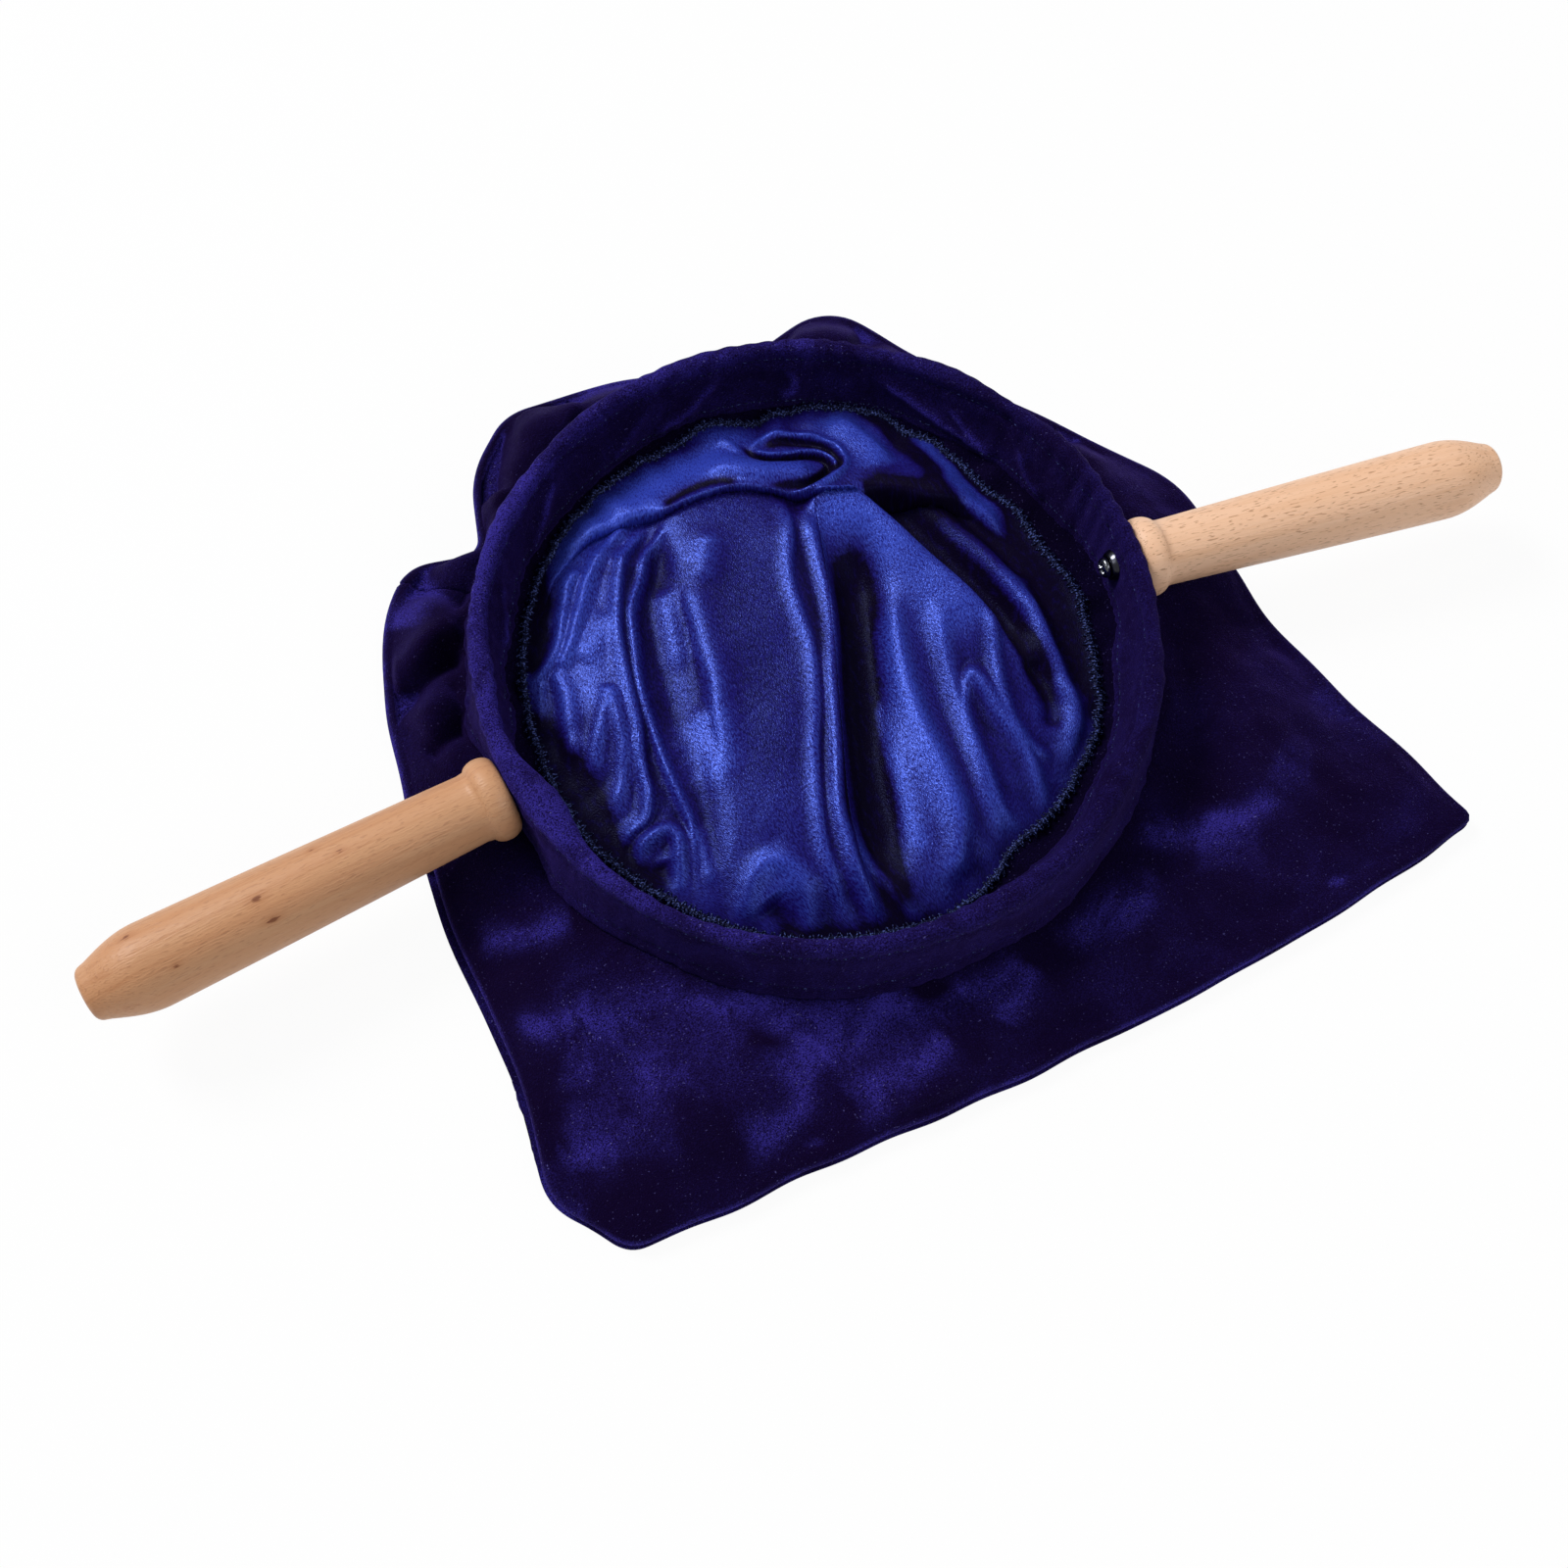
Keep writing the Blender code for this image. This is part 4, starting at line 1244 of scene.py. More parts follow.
    loops: tuple[Fold, ...] = (
        Fold("tongue", ((-14, 85), (-5, 84), (1, 81), (6, 77), (11, 74), (18, 71.5), (24, 69.5),
            (31, 68)), 2.6, 5.5, 4.8, 0, 0.3, 0.14, 3),
        Fold("loop", ((12, 86), (14, 88), (18, 90), (23, 90.5), (27, 88.5), (31, 86), (36, 83),
            (39, 79), (42, 75), (42.5, 70), (42, 67), (40, 64), (35, 61), (31, 60), (26, 60),
            (20, 61), (14, 63)), 2.4, 1.7, 1.5, 0, 0.08, 0.12, 1.6),
        Fold("loop_inside", ((13, 87), (15, 83.5), (19, 81), (23, 79.5), (28, 78.5), (33, 76.5),
            (36, 74), (38, 70.5), (38.5, 67), (37, 64)), 2.0, 1.4, 1.3, 0, 0.1, 0.15, 1.6),
        Fold("collar", ((3, 97), (6, 92), (7.5, 88), (9, 85)), 1.4, 2.4, 1.4, 0, 0.2, 0.3),
        Fold("loop_wing", ((48, 92), (52, 80), (56, 68), (60, 58)), 2.4, 8, 3.0, 0.8, 0.2, 0.3),
    )
    loop_grooves: tuple[Crease, ...] = (
        Crease(((10, 91), (11.5, 84.5), (15, 80.5), (22, 77.5), (28, 76.3), (33, 74), (35.7, 70.5),
            (35, 66.5), (30, 63.5), (23, 62.5), (14, 64.5)), -0.0034, 0.0013),
        Crease(((19, 87), (25, 86), (31, 83), (36.5, 79), (39.6, 75), (40.5, 70), (39.5, 66),
            (35, 63)), -0.0022, 0.0014),
    )
    troughs: tuple[Crease, ...] = (
        Crease(((34, 44), (29, 28), (22, 10), (12, -15), (2, -40), (-3, -58), (-8, -76),
            (-12, -96)), -0.0090, 0.0078),
        Crease(((45, 66), (51, 48), (58, 26), (65, 6), (70, -10), (72, -30)), -0.0080, 0.0056),
        Crease(((72, 44), (77, 30), (83, 14), (86, 0)), -0.0060, 0.0036),
        Crease(((60, 96), (62, 84), (66, 70), (70, 58), (72, 46)), -0.0060, 0.0036),
        Crease(((-81, -51), (-82, -58), (-85, -66)), -0.0050, 0.0036),
        Crease(((-53, -79), (-51, -86), (-50, -95)), -0.0060, 0.0044),
        Crease(((-32, 66), (-38, 54), (-47, 40), (-51, 26), (-54, 8), (-58, -16)), -0.0026, 0.0050),
        Crease(((70, -30), (71, -46), (66, -60)), -0.0040, 0.0036),
        Crease(((88, 36), (91, 20), (93, 4), (93, -12), (92, -28), (92, -44), (88, -60)), -0.0100,
            0.0072),
        Crease(((-106, 14), (-104, -4), (-101, -20), (-98, -36), (-92, -50), (-84, -64)), -0.0090,
            0.0070),
    )
    # Strokes of painted light and shade on the satin: painted highlights where it faces the light,
    # painted shade in hollows and gaps.
    painted_light_strokes: tuple[Stroke, ...] = (
        Stroke(((-84, 60), (-60, 78), (-34, 86), (0, 90), (24, 92)), 16, 0.42),
        Stroke(((-60, 74), (-41, 80), (-30, 84), (-21, 86), (-12, 86), (-4, 88), (6, 90)), 5, 0.40),
        Stroke(((-14, 82), (-5, 82), (4, 78), (11, 74), (18, 72), (24, 70), (31, 68)), 5, 0.45),
        Stroke(((-41, 78), (-35, 75), (-27, 74)), 3, 0.30),
        Stroke(((-31, 72), (-24, 74), (-15, 75.5), (-7, 75), (2, 70)), 2.6, -0.55),
        Stroke(((-50, 94), (-32, 98), (-10, 98), (2, 98)), 4, -0.30),
        Stroke(((12, 86), (18, 90), (23, 90.5), (31, 86), (39, 79), (42.5, 70), (40, 64), (31, 60),
            (20, 61)), 1.5, 0.45),
        Stroke(((13, 87), (19, 81), (28, 78.5), (36, 74), (38.5, 67), (37, 63)), 1.2, 0.40),
        Stroke(((9, 93), (11.5, 84.5), (15, 80.5), (22, 77.5), (28, 76.3), (33, 74), (35.7, 70.5),
            (35, 66.5), (30, 63.5), (23, 62.5), (8, 66)), 1.7, -0.75),
        Stroke(((17, 87), (25, 86), (31, 83), (36.5, 79), (39.6, 75), (40.5, 70), (39.5, 66),
            (34, 63)), 1.9, -0.70),
        Stroke(((46, 94), (49, 82), (53, 70), (52, 58)), 8, 0.50),
        Stroke(((40, 53), (50, 50), (60, 47), (72, 40)), 3.6, -0.60),
        Stroke(((82, 72), (84, 60), (86, 48), (90, 38), (95, 28), (98, 18), (99, 4)), 2.6, -0.60),
        Stroke(((22, 55), (32, 48), (39, 36), (44, 20)), 6, 0.25),
        Stroke(((24, 58), (36, 34), (48, 8), (56, -20)), 12, 0.38),
        Stroke(((27, 10), (21, -40), (16, -84)), 8, 0.30),
        Stroke(((-26, 62), (-20, 20), (-32, -50)), 14, -0.07),
        Stroke(((34, 46), (29, 28), (22, 10), (12, -15), (2, -40), (-4, -58), (-10, -76)), 8, -0.5),
        Stroke(((14, -19), (10, -41), (7, -59), (4, -74), (5, -88)), 3, 0.35),
        Stroke(((-66, 93), (-77, 76), (-84, 58), (-91, 43), (-97, 30)), 5, -0.7),
        Stroke(((1, -46), (-5, -66), (-9, -84), (-12, -104)), 4.5, -0.45),
        Stroke(((-49, -62), (-46, -73), (-44, -82)), 6, 0.26),
        Stroke(((-21, 56), (-26, 46)), 6, 0.16),
        Stroke(((47, 62), (54, 42), (60, 24), (67, 4), (71, -12), (72, -34), (66, -50)), 5.5, -0.6),
        Stroke(((70, 54), (70, 44), (74, 33), (79, 21), (84, 9), (86, -1)), 3.8, -0.65),
        Stroke(((72, 76), (76, 65), (78, 53), (82, 40), (88, 27), (94, 12)), 4.2, 0.34),
        Stroke(((58, 48), (64, 38), (69, 28), (74, 14), (77, 1)), 4.0, -0.22),
        Stroke(((60, 98), (64, 84), (68, 70), (72, 58), (74, 46)), 4, -0.7),
        Stroke(((88, 34), (94, 18), (97, 2), (97, -16), (96, -36), (96, -50), (86, -66)), 8, -0.8),
        Stroke(((-106, 24), (-103, 5), (-99, -10), (-97, -24), (-98, -38), (-94, -52), (-84, -66)),
            7, -0.9),
        Stroke(((-62, 60), (-76, 34), (-82, 4)), 13, 0.22),
        Stroke(((-46, -8), (-50, -34)), 8, 0.20),
        Stroke(((-60, -92), (-30, -104), (4, -112)), 7, -0.30),
    )
    level: float = 0.0226
    lowest: float = 0.0292
    softness: float = 0.0012
    waver: float = 0.00030
    gather: float = 0.0006
    cloth_size: tuple[float, float] = (0.21, 0.21)
    # The usual painted light, the painted highlight on fold crests, and painted light and shade
    # from the cloth's relief.
    usual_painted_light: float = 0.23
    crest_painted_highlight: float = 0.12
    relief_light_and_shade: float = 0.14
    relief_limits: tuple[float, float] = (-0.16, 0.12)
    gathered: tuple[float, float] = (0.80, 0.96)
    edge_power: int = 6
    hold_power: int = 12
    seam_gap: float = 0.0002

    def length(self, azimuth: Array) -> Array:
        """The flat distance from the lining's middle to its sewn edge, in each direction."""
        middle = np.array(self.middle)
        heading = np.column_stack([np.cos(azimuth), np.sin(azimuth)])
        distance = np.full(len(azimuth), 0.100)
        for _ in range(6):
            spot = middle + heading * distance[:, None]
            wanted = self.mouth.seam(np.arctan2(spot[:, 1], spot[:, 0]))[0]
            distance += wanted - self.edge_inset - np.hypot(spot[:, 0], spot[:, 1])
        return distance

    def place(self, across: Array, along: Array) -> Array:
        """Puts the lining's square of shares on the round mouth and raises its folds."""
        x, y = 2 * across - 1, 2 * along - 1
        wide, high = x * np.sqrt(1 - y * y / 2), y * np.sqrt(1 - x * x / 2)
        reach = np.hypot(wide, high)
        azimuth = np.arctan2(high, wide)
        flat = np.array(self.middle) + np.column_stack([wide, high]) * (
            self.length(azimuth)[:, None]
        )
        cubes, shift = np.zeros(len(flat)), np.zeros((len(flat), 2))
        for fold in self.folds:
            height, moved = fold.over(flat)
            cubes += height**3
            shift += moved
        lift = np.cbrt(cubes)
        for swell in self.swells:
            height, moved = swell.over(flat)
            lift += height
            shift += moved
        for trough in self.troughs:
            lift += trough.over(flat)
        layer, moved, cover = self.apron.over(flat)
        lift = lift * (1.0 - cover) + layer
        shift = shift * (1.0 - cover)[:, None] + moved
        for fold in self.loops:
            height, moved = fold.over(flat)
            lift += height
            shift += moved
        for groove in self.loop_grooves:
            lift += groove.over(flat)
        lift += self.waver * Waver(51, 14, 34).over(flat)
        held = 1.0 - reach**self.hold_power
        edge_azimuth = np.arctan2(flat[:, 1], flat[:, 0])
        drop = self.mouth.seam(edge_azimuth)[1]
        gathers = self.gather * Waver(52, 20, 46).round(edge_azimuth)
        gathers = gathers * ease(*self.gathered, reach) * held
        edge = reach**self.edge_power
        height = -drop * edge - self.level * (1.0 - edge) + lift * held + gathers
        soft = self.softness
        height = soft * np.logaddexp(height / soft, -self.lowest / soft)
        return np.column_stack([flat + shift * held[:, None], height])

    def half(self, name: str, side: int, finish: SatinFinish) -> Piece:
        """One half of the lining, cut along the seam before it is shaped."""
        cloth = Cloth(name, self.grid, self.grid)
        centre = Vector((0.5, 0.5, 0.0))
        normal = Vector((math.sin(self.seam_azimuth), -math.cos(self.seam_azimuth), 0.0)) * side
        cloth.cut_along(centre - normal * self.seam_gap, normal)
        mesh = cloth.laid(self.place, self.cloth_size, self.mouth.centre)
        piece = shown(name, mesh, BAG)
        self.painted_light(piece)
        thicken(piece, self.satin, offset=-1.0)
        mesh.materials.append(finish.made())
        return piece

    def painted_light(self, piece: Piece) -> None:
        """Paints light and shade into the satin: the strokes, painted highlights on fold crests,
        and painted shade in hollows against highlights on rises.
        """
        spots = spots_of(piece, self.mouth.centre)
        painted_light = np.full(len(spots), self.usual_painted_light)
        for tone in self.painted_light_strokes:
            painted_light += tone.over(spots[:, :2])
        for fold in self.folds:
            painted_light += self.crest_painted_highlight * fold.over(spots[:, :2])[0] / (fold.height * MM)
        # Painted shade where the cloth lies below its surroundings, painted highlight where it
        # stands above.
        stands = spots[:, 2] - self.level_around(spots)
        painted_light += np.clip(self.relief_light_and_shade * stands / MM, *self.relief_limits)
        paint(piece, "painted_light", np.clip(painted_light, 0.0, 1.0))

    @staticmethod
    def level_around(spots: Array, cell: float = 0.001, reach: int = 5) -> Array:
        """The mean height of the cloth in a square of cells about each spot."""
        low = spots[:, :2].min(axis=0) - cell * (reach + 1)
        index = ((spots[:, :2] - low) / cell).astype(int)
        shape = tuple(index.max(axis=0) + reach + 2)
        totals = np.zeros((2, *shape))
        np.add.at(totals[0], (index[:, 0], index[:, 1]), spots[:, 2])
        np.add.at(totals[1], (index[:, 0], index[:, 1]), 1.0)
        sums = np.pad(totals, ((0, 0), (1, 0), (1, 0))).cumsum(axis=1).cumsum(axis=2)
        first, last = index - reach, index + reach + 1
        inside = (
            sums[:, last[:, 0], last[:, 1]] - sums[:, first[:, 0], last[:, 1]]
            - sums[:, last[:, 0], first[:, 1]] + sums[:, first[:, 0], first[:, 1]]
        )
        return inside[0] / inside[1]

    def build(self) -> None:
        """Builds both halves."""
        halves = (
            ("left_lining_satin", "left_lining_panel", 1, self.finish_left),
            ("right_lining_satin", "right_lining_panel", -1, self.finish_right),
        )
        for name, node, side, finish in halves:
            piece = self.half(name, side, finish)
            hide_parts(node)
        log.info("folds in the lining: %s", ", ".join(fold.name for fold in self.folds))


# The bag


@dataclass(frozen=True)
class Corner:
    """A corner of the bag's outline on the table, and how far it is rounded to each side."""

    x: float
    y: float
    rounding: float


@dataclass
class BagSkin:
    """The velvet bag below the hoop: the near panel, and the back one that turns under it."""

    mouth: Mouth
    front_finish: VelvetFinish
    back_finish: VelvetFinish
    table: float
    edge_height: float = 0.0068
    hem_height: float = 0.0030
    far_bulge: float = 0.0065
    near_bulge: float = 0.0020
    below_hem: float = 0.0010
    inside_hem: float = 0.0012
    hem_crease: float = 0.0012
    crease_share: float = 0.035
    loosens: tuple[float, float] = (0.02, 0.22)
    tightens: tuple[float, float] = (0.90, 1.0)
    valley_start: float = 0.15
    least_height: float = 0.0042
    outline_points: int = 2400
    outline_waver: float = 0.0007
    broad_waver: float = 0.0013
    fine_waver: float = 0.00035
    panel_inset: float = 0.0022
    left_inset: tuple[float, float] = (-0.02, -0.10)
    near_inset: tuple[float, float] = (-0.150, -0.128)
    under_inset: float = 0.0008
    front_split: float = 0.92
    back_splits: tuple[float, float] = (0.42, 0.50)
    width: float = 0.36
    seam_azimuths: tuple[float, float] = (math.radians(-4.0), math.radians(186.0))
    corners: tuple[Corner, ...] = (
        Corner(199.5, -144.5, 4), Corner(103, -160, 30), Corner(12, -165, 30),
        Corner(-138, -166, 7), Corner(-156, -142, 10), Corner(-152, -104, 16),
        Corner(-157, -40, 30), Corner(-151, 20, 26), Corner(-139, 78, 20), Corner(-120, 97, 8),
        Corner(-94, 94, 8), Corner(-84, 128, 12), Corner(-64, 148, 9), Corner(-22, 148, 18),
        Corner(28, 135, 22), Corner(73, 151, 16), Corner(104, 104, 30), Corner(142, 54, 14),
        Corner(167, 22, 16), Corner(170, -50, 26), Corner(186, -104, 22),
    )
    valleys: tuple[Crease, ...] = (
        Crease(((-74, 146), (-78, 128), (-82, 108)), 0.0085, 0.0060),
        Crease(((-122, 92), (-114, 82), (-104, 70)), 0.0085, 0.0060),
        Crease(((-150, 44), (-136, 45), (-124, 50), (-112, 54)), 0.0070, 0.0050),
        Crease(((-140, 18), (-130, 22), (-120, 24)), 0.0050, 0.0040),
        Crease(((-52, 154), (-42, 142), (-33, 136)), 0.0050, 0.0040),
        Crease(((24, 142), (16, 132), (4, 128)), 0.0050, 0.0050),
        Crease(((84, 136), (74, 118), (66, 108)), 0.0050, 0.0050),
        Crease(((140, 66), (128, 52), (118, 44)), 0.0050, 0.0050),
    )
    ridges: tuple[Crease, ...] = (
        Crease(((-148, 50), (-136, 56), (-120, 60), (-108, 62)), 0.0050, 0.0060),
        Crease(((-96, 104), (-92, 116), (-88, 100)), 0.0040, 0.0100),
        Crease(((-64, 140), (-50, 134), (-40, 126)), 0.0040, 0.0120),
        Crease(((50, 138), (62, 130), (72, 120)), 0.0045, 0.0120),
        Crease(((-140, 30), (-132, 34), (-122, 36)), 0.0030, 0.0060),
    )
    # Strokes of sheen painted into the velvet's colour where the pile is brushed over; the negative
    # ones are painted darker.
    painted_sheen_strokes: tuple[Stroke, ...] = (
        Stroke(((-140, -92), (-116, -98), (-84, -108), (-52, -124), (-14, -134)), 17, 0.22),
        Stroke(((-140, -116), (-124, -124), (-104, -130)), 15, 0.18),
        Stroke(((-147, -52), (-136, -54), (-125, -57), (-112, -58)), 5.0, 0.55),
        Stroke(((-145, -83), (-133, -88), (-118, -90), (-102, -92), (-86, -98)), 5.5, 0.62),
        Stroke(((-92, -96), (-78, -104), (-66, -112), (-58, -118)), 7, 0.40),
        Stroke(((-133, -99), (-120, -112), (-108, -118)), 8, 0.26),
        Stroke(((-116, -118), (-104, -122), (-92, -124)), 7, 0.26),
        Stroke(((-146, -126), (-136, -131), (-126, -134)), 6, 0.30),
        Stroke(((-92, -146), (-80, -147), (-70, -142), (-64, -132), (-52, -128)), 6.0, 0.55),
        Stroke(((-64, -128), (-46, -130), (-30, -127), (-16, -124)), 6.0, 0.55),
        Stroke(((-54, -149), (-38, -149), (-24, -145), (-12, -140)), 5.5, 0.50),
        Stroke(((-78, -102), (-60, -113), (-42, -122), (-22, -129), (0, -131), (22, -132)), 5,
            0.28),
        Stroke(((-14, -138), (-2, -135), (10, -131), (22, -128)), 6.0, 0.45),
        Stroke(((4, -146), (14, -141), (24, -134)), 5.0, 0.40),
        Stroke(((32, -131), (46, -127), (62, -124), (78, -124)), 6, 0.46),
        Stroke(((-80, -118), (-66, -126), (-60, -136)), 5, -0.30),
        Stroke(((-26, -118), (-14, -124), (-6, -130)), 4, -0.25),
        Stroke(((80, -100), (90, -108), (104, -112), (120, -112), (134, -108)), 5.5, 0.62),
        Stroke(((92, -115), (106, -119), (120, -121)), 7, 0.26),
        Stroke(((134, -96), (142, -104), (150, -108)), 9, 0.16),
        Stroke(((166, -78), (176, -92), (186, -108)), 6, 0.24),
        Stroke(((-156, -127), (-154, -140), (-146, -152)), 5, 0.45),
        Stroke(((-134, 73), (-124, 80), (-112, 82)), 6, 0.5),
        Stroke(((-49, 140), (-32, 143), (-10, 146)), 6, 0.5),
    )
    stroke_drift: float = 0.0022
    # A painted sheen fringe on the rounding of the edge, and a faint sheen painted everywhere.
    edge_painted_sheen: float = 0.60
    edge_sheen_rises: tuple[float, float] = (0.02, 0.25)
    edge_sheen_falls: tuple[float, float] = (0.80, 0.98)
    usual_painted_sheen: float = 0.03

    def outline(self) -> Array:
        """The outline as evenly spaced points, corners rounded, starting at the right seam."""
        spots = np.array([(c.x, c.y) for c in self.corners], float) * MM
        dense = []
        for index, corner in enumerate(self.corners):
            before = unit(spots[index - 1 : index] - spots[index] if index else
                          spots[-1:] - spots[0])[0]
            after = unit(spots[(index + 1) % len(spots)][None] - spots[index])[0]
            start = spots[index] + before * corner.rounding * MM
            end = spots[index] + after * corner.rounding * MM
            for share in np.linspace(0, 1, 10):
                bend = spots[index] * 2 * share * (1 - share)
                dense.append(start * (1 - share) ** 2 + bend + end * share**2)
        dense = np.array(dense)[::-1]
        closed = np.vstack([dense, dense[:1]])
        run = travelled(closed)
        even = np.linspace(0, run[-1], self.outline_points, endpoint=False)
        even = np.column_stack([np.interp(even, run, closed[:, k]) for k in (0, 1)])
        wobble = Waver(61, 8, 30).over(even)[:, None] * self.outline_waver
        even = even + unit(even) * wobble
        turn = (np.arctan2(even[:, 1], even[:, 0]) - self.seam_azimuths[0]) % (2 * math.pi)
        return np.roll(even, -int(np.argmin(turn)), axis=0)

    def edge(self, share: Array, far: bool) -> Array:
        """Points of the far or the near side of the outline, from one side seam to the other."""
        outline = self.outline()
        right, left = self.seam_azimuths
        turn = (np.arctan2(outline[:, 1], outline[:, 0]) - right) % (2 * math.pi)
        split = int(np.argmin(np.abs(turn - (left - right) % (2 * math.pi))))
        part = outline[: split + 1] if far else np.vstack([outline[split:], outline[:1]])
        run = travelled(part)
        run = run / run[-1]
        return np.column_stack([np.interp(share, run, part[:, k]) for k in (0, 1)])

    def top(self, edge: Array, share: Array) -> Array:
        """The velvet from under the casing (share 0) out to the bag's edge (share 1)."""
        azimuth = np.arctan2(edge[:, 1], edge[:, 0])
        hem = self.mouth.hem(azimuth)
        start = hem[:, :2] * (1 - self.inside_hem / np.hypot(hem[:, 0], hem[:, 1]))[:, None]
        flat = start * (1 - share)[:, None] + edge * share[:, None]
        low = hem[:, 2] - self.below_hem - self.table
        height = low * (1 - share) + self.edge_height * share
        bulge = self.near_bulge + (self.far_bulge - self.near_bulge) * ease(
            -0.2, 0.5, np.sin(azimuth)
        )
        middle = np.sin(math.pi * np.clip(share, 0, 1)) ** 2
        height = height + bulge * middle
        loose = ease(*self.loosens, share) * (1 - ease(*self.tightens, share))
        for valley in self.valleys:
            height = height - valley.over(flat) * ease(0.0, self.valley_start, share)
        for ridge in self.ridges:
            height = height + ridge.over(flat) * loose
        height = height + self.broad_waver * Waver(62, 9, 22).over(flat) * loose
        height = height + self.fine_waver * Waver(63, 40, 90).over(flat) * loose
        crease = hump(share, self.crease_share) * self.hem_crease
        height = np.maximum(height - crease, self.least_height)
        return np.column_stack([flat, height + self.table])

    def turned_down(self, edge: Array, share: Array, low: float) -> Array:
        """The edge's rounding, from the top (share 0) down to its lowest point (share 1)."""
        inward = unit(-edge)
        radius = (self.edge_height - low) / 2
        angle = share * math.pi
        out = np.sin(angle) * radius
        rows = edge + inward * (radius - out)[:, None]
        height = self.edge_height - radius * (1 - np.cos(angle))
        return np.column_stack([rows, height + self.table])

    def front_place(self, across: Array, along: Array) -> Array:
        """The near panel: most of the way on top, and the last part down round its edge."""
        edge = self.edge(across, far=False)
        left = ease(*self.left_inset, edge[:, 0]) * ease(*self.near_inset, edge[:, 1])
        edge = edge + unit(-edge) * (self.panel_inset * (1 + left))[:, None]
        split = self.front_split
        top_share = np.clip(along / split, 0, 1)
        radius = (self.edge_height - self.hem_height) / 2
        top = self.top(edge + unit(-edge) * radius, top_share)
        down_share = np.clip((along - split) / (1 - split), 0, 1)
        down = self.turned_down(edge, down_share, self.hem_height)
        return np.where((along <= split)[:, None], top, down)

    def back_place(self, across: Array, along: Array) -> Array:
        """The back panel: far top, round the far edge, and under the whole bag."""
        edge = self.edge(across, far=True)
        top_split, fold_split = self.back_splits
        low = self.mouth.velvet / 2
        radius = (self.edge_height - low) / 2
        top = self.top(edge + unit(-edge) * radius, np.clip(along / top_split, 0, 1))
        fold_share = np.clip((along - top_split) / (fold_split - top_split), 0, 1)
        fold = self.turned_down(edge, fold_share, low)
        under_share = np.clip((along - fold_split) / (1 - fold_split), 0, 1)[:, None]
        near = self.edge(1 - across, far=False)
        start = edge + unit(-edge) * radius
        near = near - unit(near) * self.under_inset
        under = start * (1 - under_share) + near * under_share
        under = np.column_stack([under, np.full(len(under), low + self.table)])
        placed = np.where((along <= top_split)[:, None], top, fold)
        return np.where((along > fold_split)[:, None], under, placed)

    def build(self) -> None:
        """Builds both panels."""
        panels = (
            ("front_velvet", "front_velvet_panel", self.front_place, (400, 90), (0.62, 0.17),
             self.front_finish),
            ("back_velvet", "back_velvet_panel", self.back_place, (400, 122), (0.62, 0.40),
             self.back_finish),
        )
        for name, node, place, faces, size, finish in panels:
            mesh = Cloth(name, *faces).laid(place, size, self.mouth.centre)
            piece = shown(name, mesh, BAG)
            thicken(piece, self.mouth.velvet)
            self.brush(piece)
            mesh.materials.append(finish.made())
            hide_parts(node)

    def brush(self, piece: Piece) -> None:
        """Paints sheen into the velvet's colour where the pile is brushed over, and a painted sheen
        fringe round the edge.
        """
        spots = spots_of(piece, self.mouth.centre)
        painted_sheen = self.usual_painted_sheen * (1.0 + Waver(64, 10, 26).over(spots[:, :2]))
        drift = np.column_stack([Waver(65, 16, 52).over(spots[:, :2]),
                                 Waver(66, 16, 52).over(spots[:, :2])])
        uneven = spots[:, :2] + self.stroke_drift * drift
        for stroke in self.painted_sheen_strokes:
            painted_sheen = painted_sheen + stroke.over(uneven)
        # Painted sheen fringe on the edge's rounding.
        height = spots[:, 2] - self.table
        level = height / self.edge_height
        rounding = ease(*self.edge_sheen_rises, level) - ease(*self.edge_sheen_falls, level)
        painted_sheen = painted_sheen + self.edge_painted_sheen * np.clip(rounding, 0.0, 1.0)
        paint(piece, "painted_sheen", np.clip(painted_sheen, 0, 1))


# Handles and fastenings


def spun(name: str, profile: Array, steps: int, along: Matrix, sharp: float) -> Mesh:
    """A turned shape: a profile spun once round Z.

    Args:
        name: The mesh's name.
        profile: Rows of radius and height.
        steps: How many steps the turn has.
        along: Where the finished shape goes.
        sharp: Edges that bend more than this angle stay sharp.

    Returns:
        The mesh, closed and facing outwards.
    """
    form = bmesh.new()
    line = [form.verts.new((radius, 0.0, height)) for radius, height in profile]
    edges = [form.edges.new(pair) for pair in zip(line, line[1:])]
    bmesh.ops.spin(
        form, geom=[*line, *edges], cent=(0, 0, 0), axis=(0, 0, 1), dvec=(0, 0, 0),
        angle=2 * math.pi, steps=steps, use_merge=True, use_duplicate=False,
    )
    bmesh.ops.remove_doubles(form, verts=form.verts, dist=2e-6)
    bmesh.ops.recalc_face_normals(form, faces=form.faces)
    bmesh.ops.transform(form, matrix=along, verts=form.verts)
    mesh = meshed(name, form, smooth=True)
    mesh.set_sharp_from_angle(angle=sharp)
    return mesh


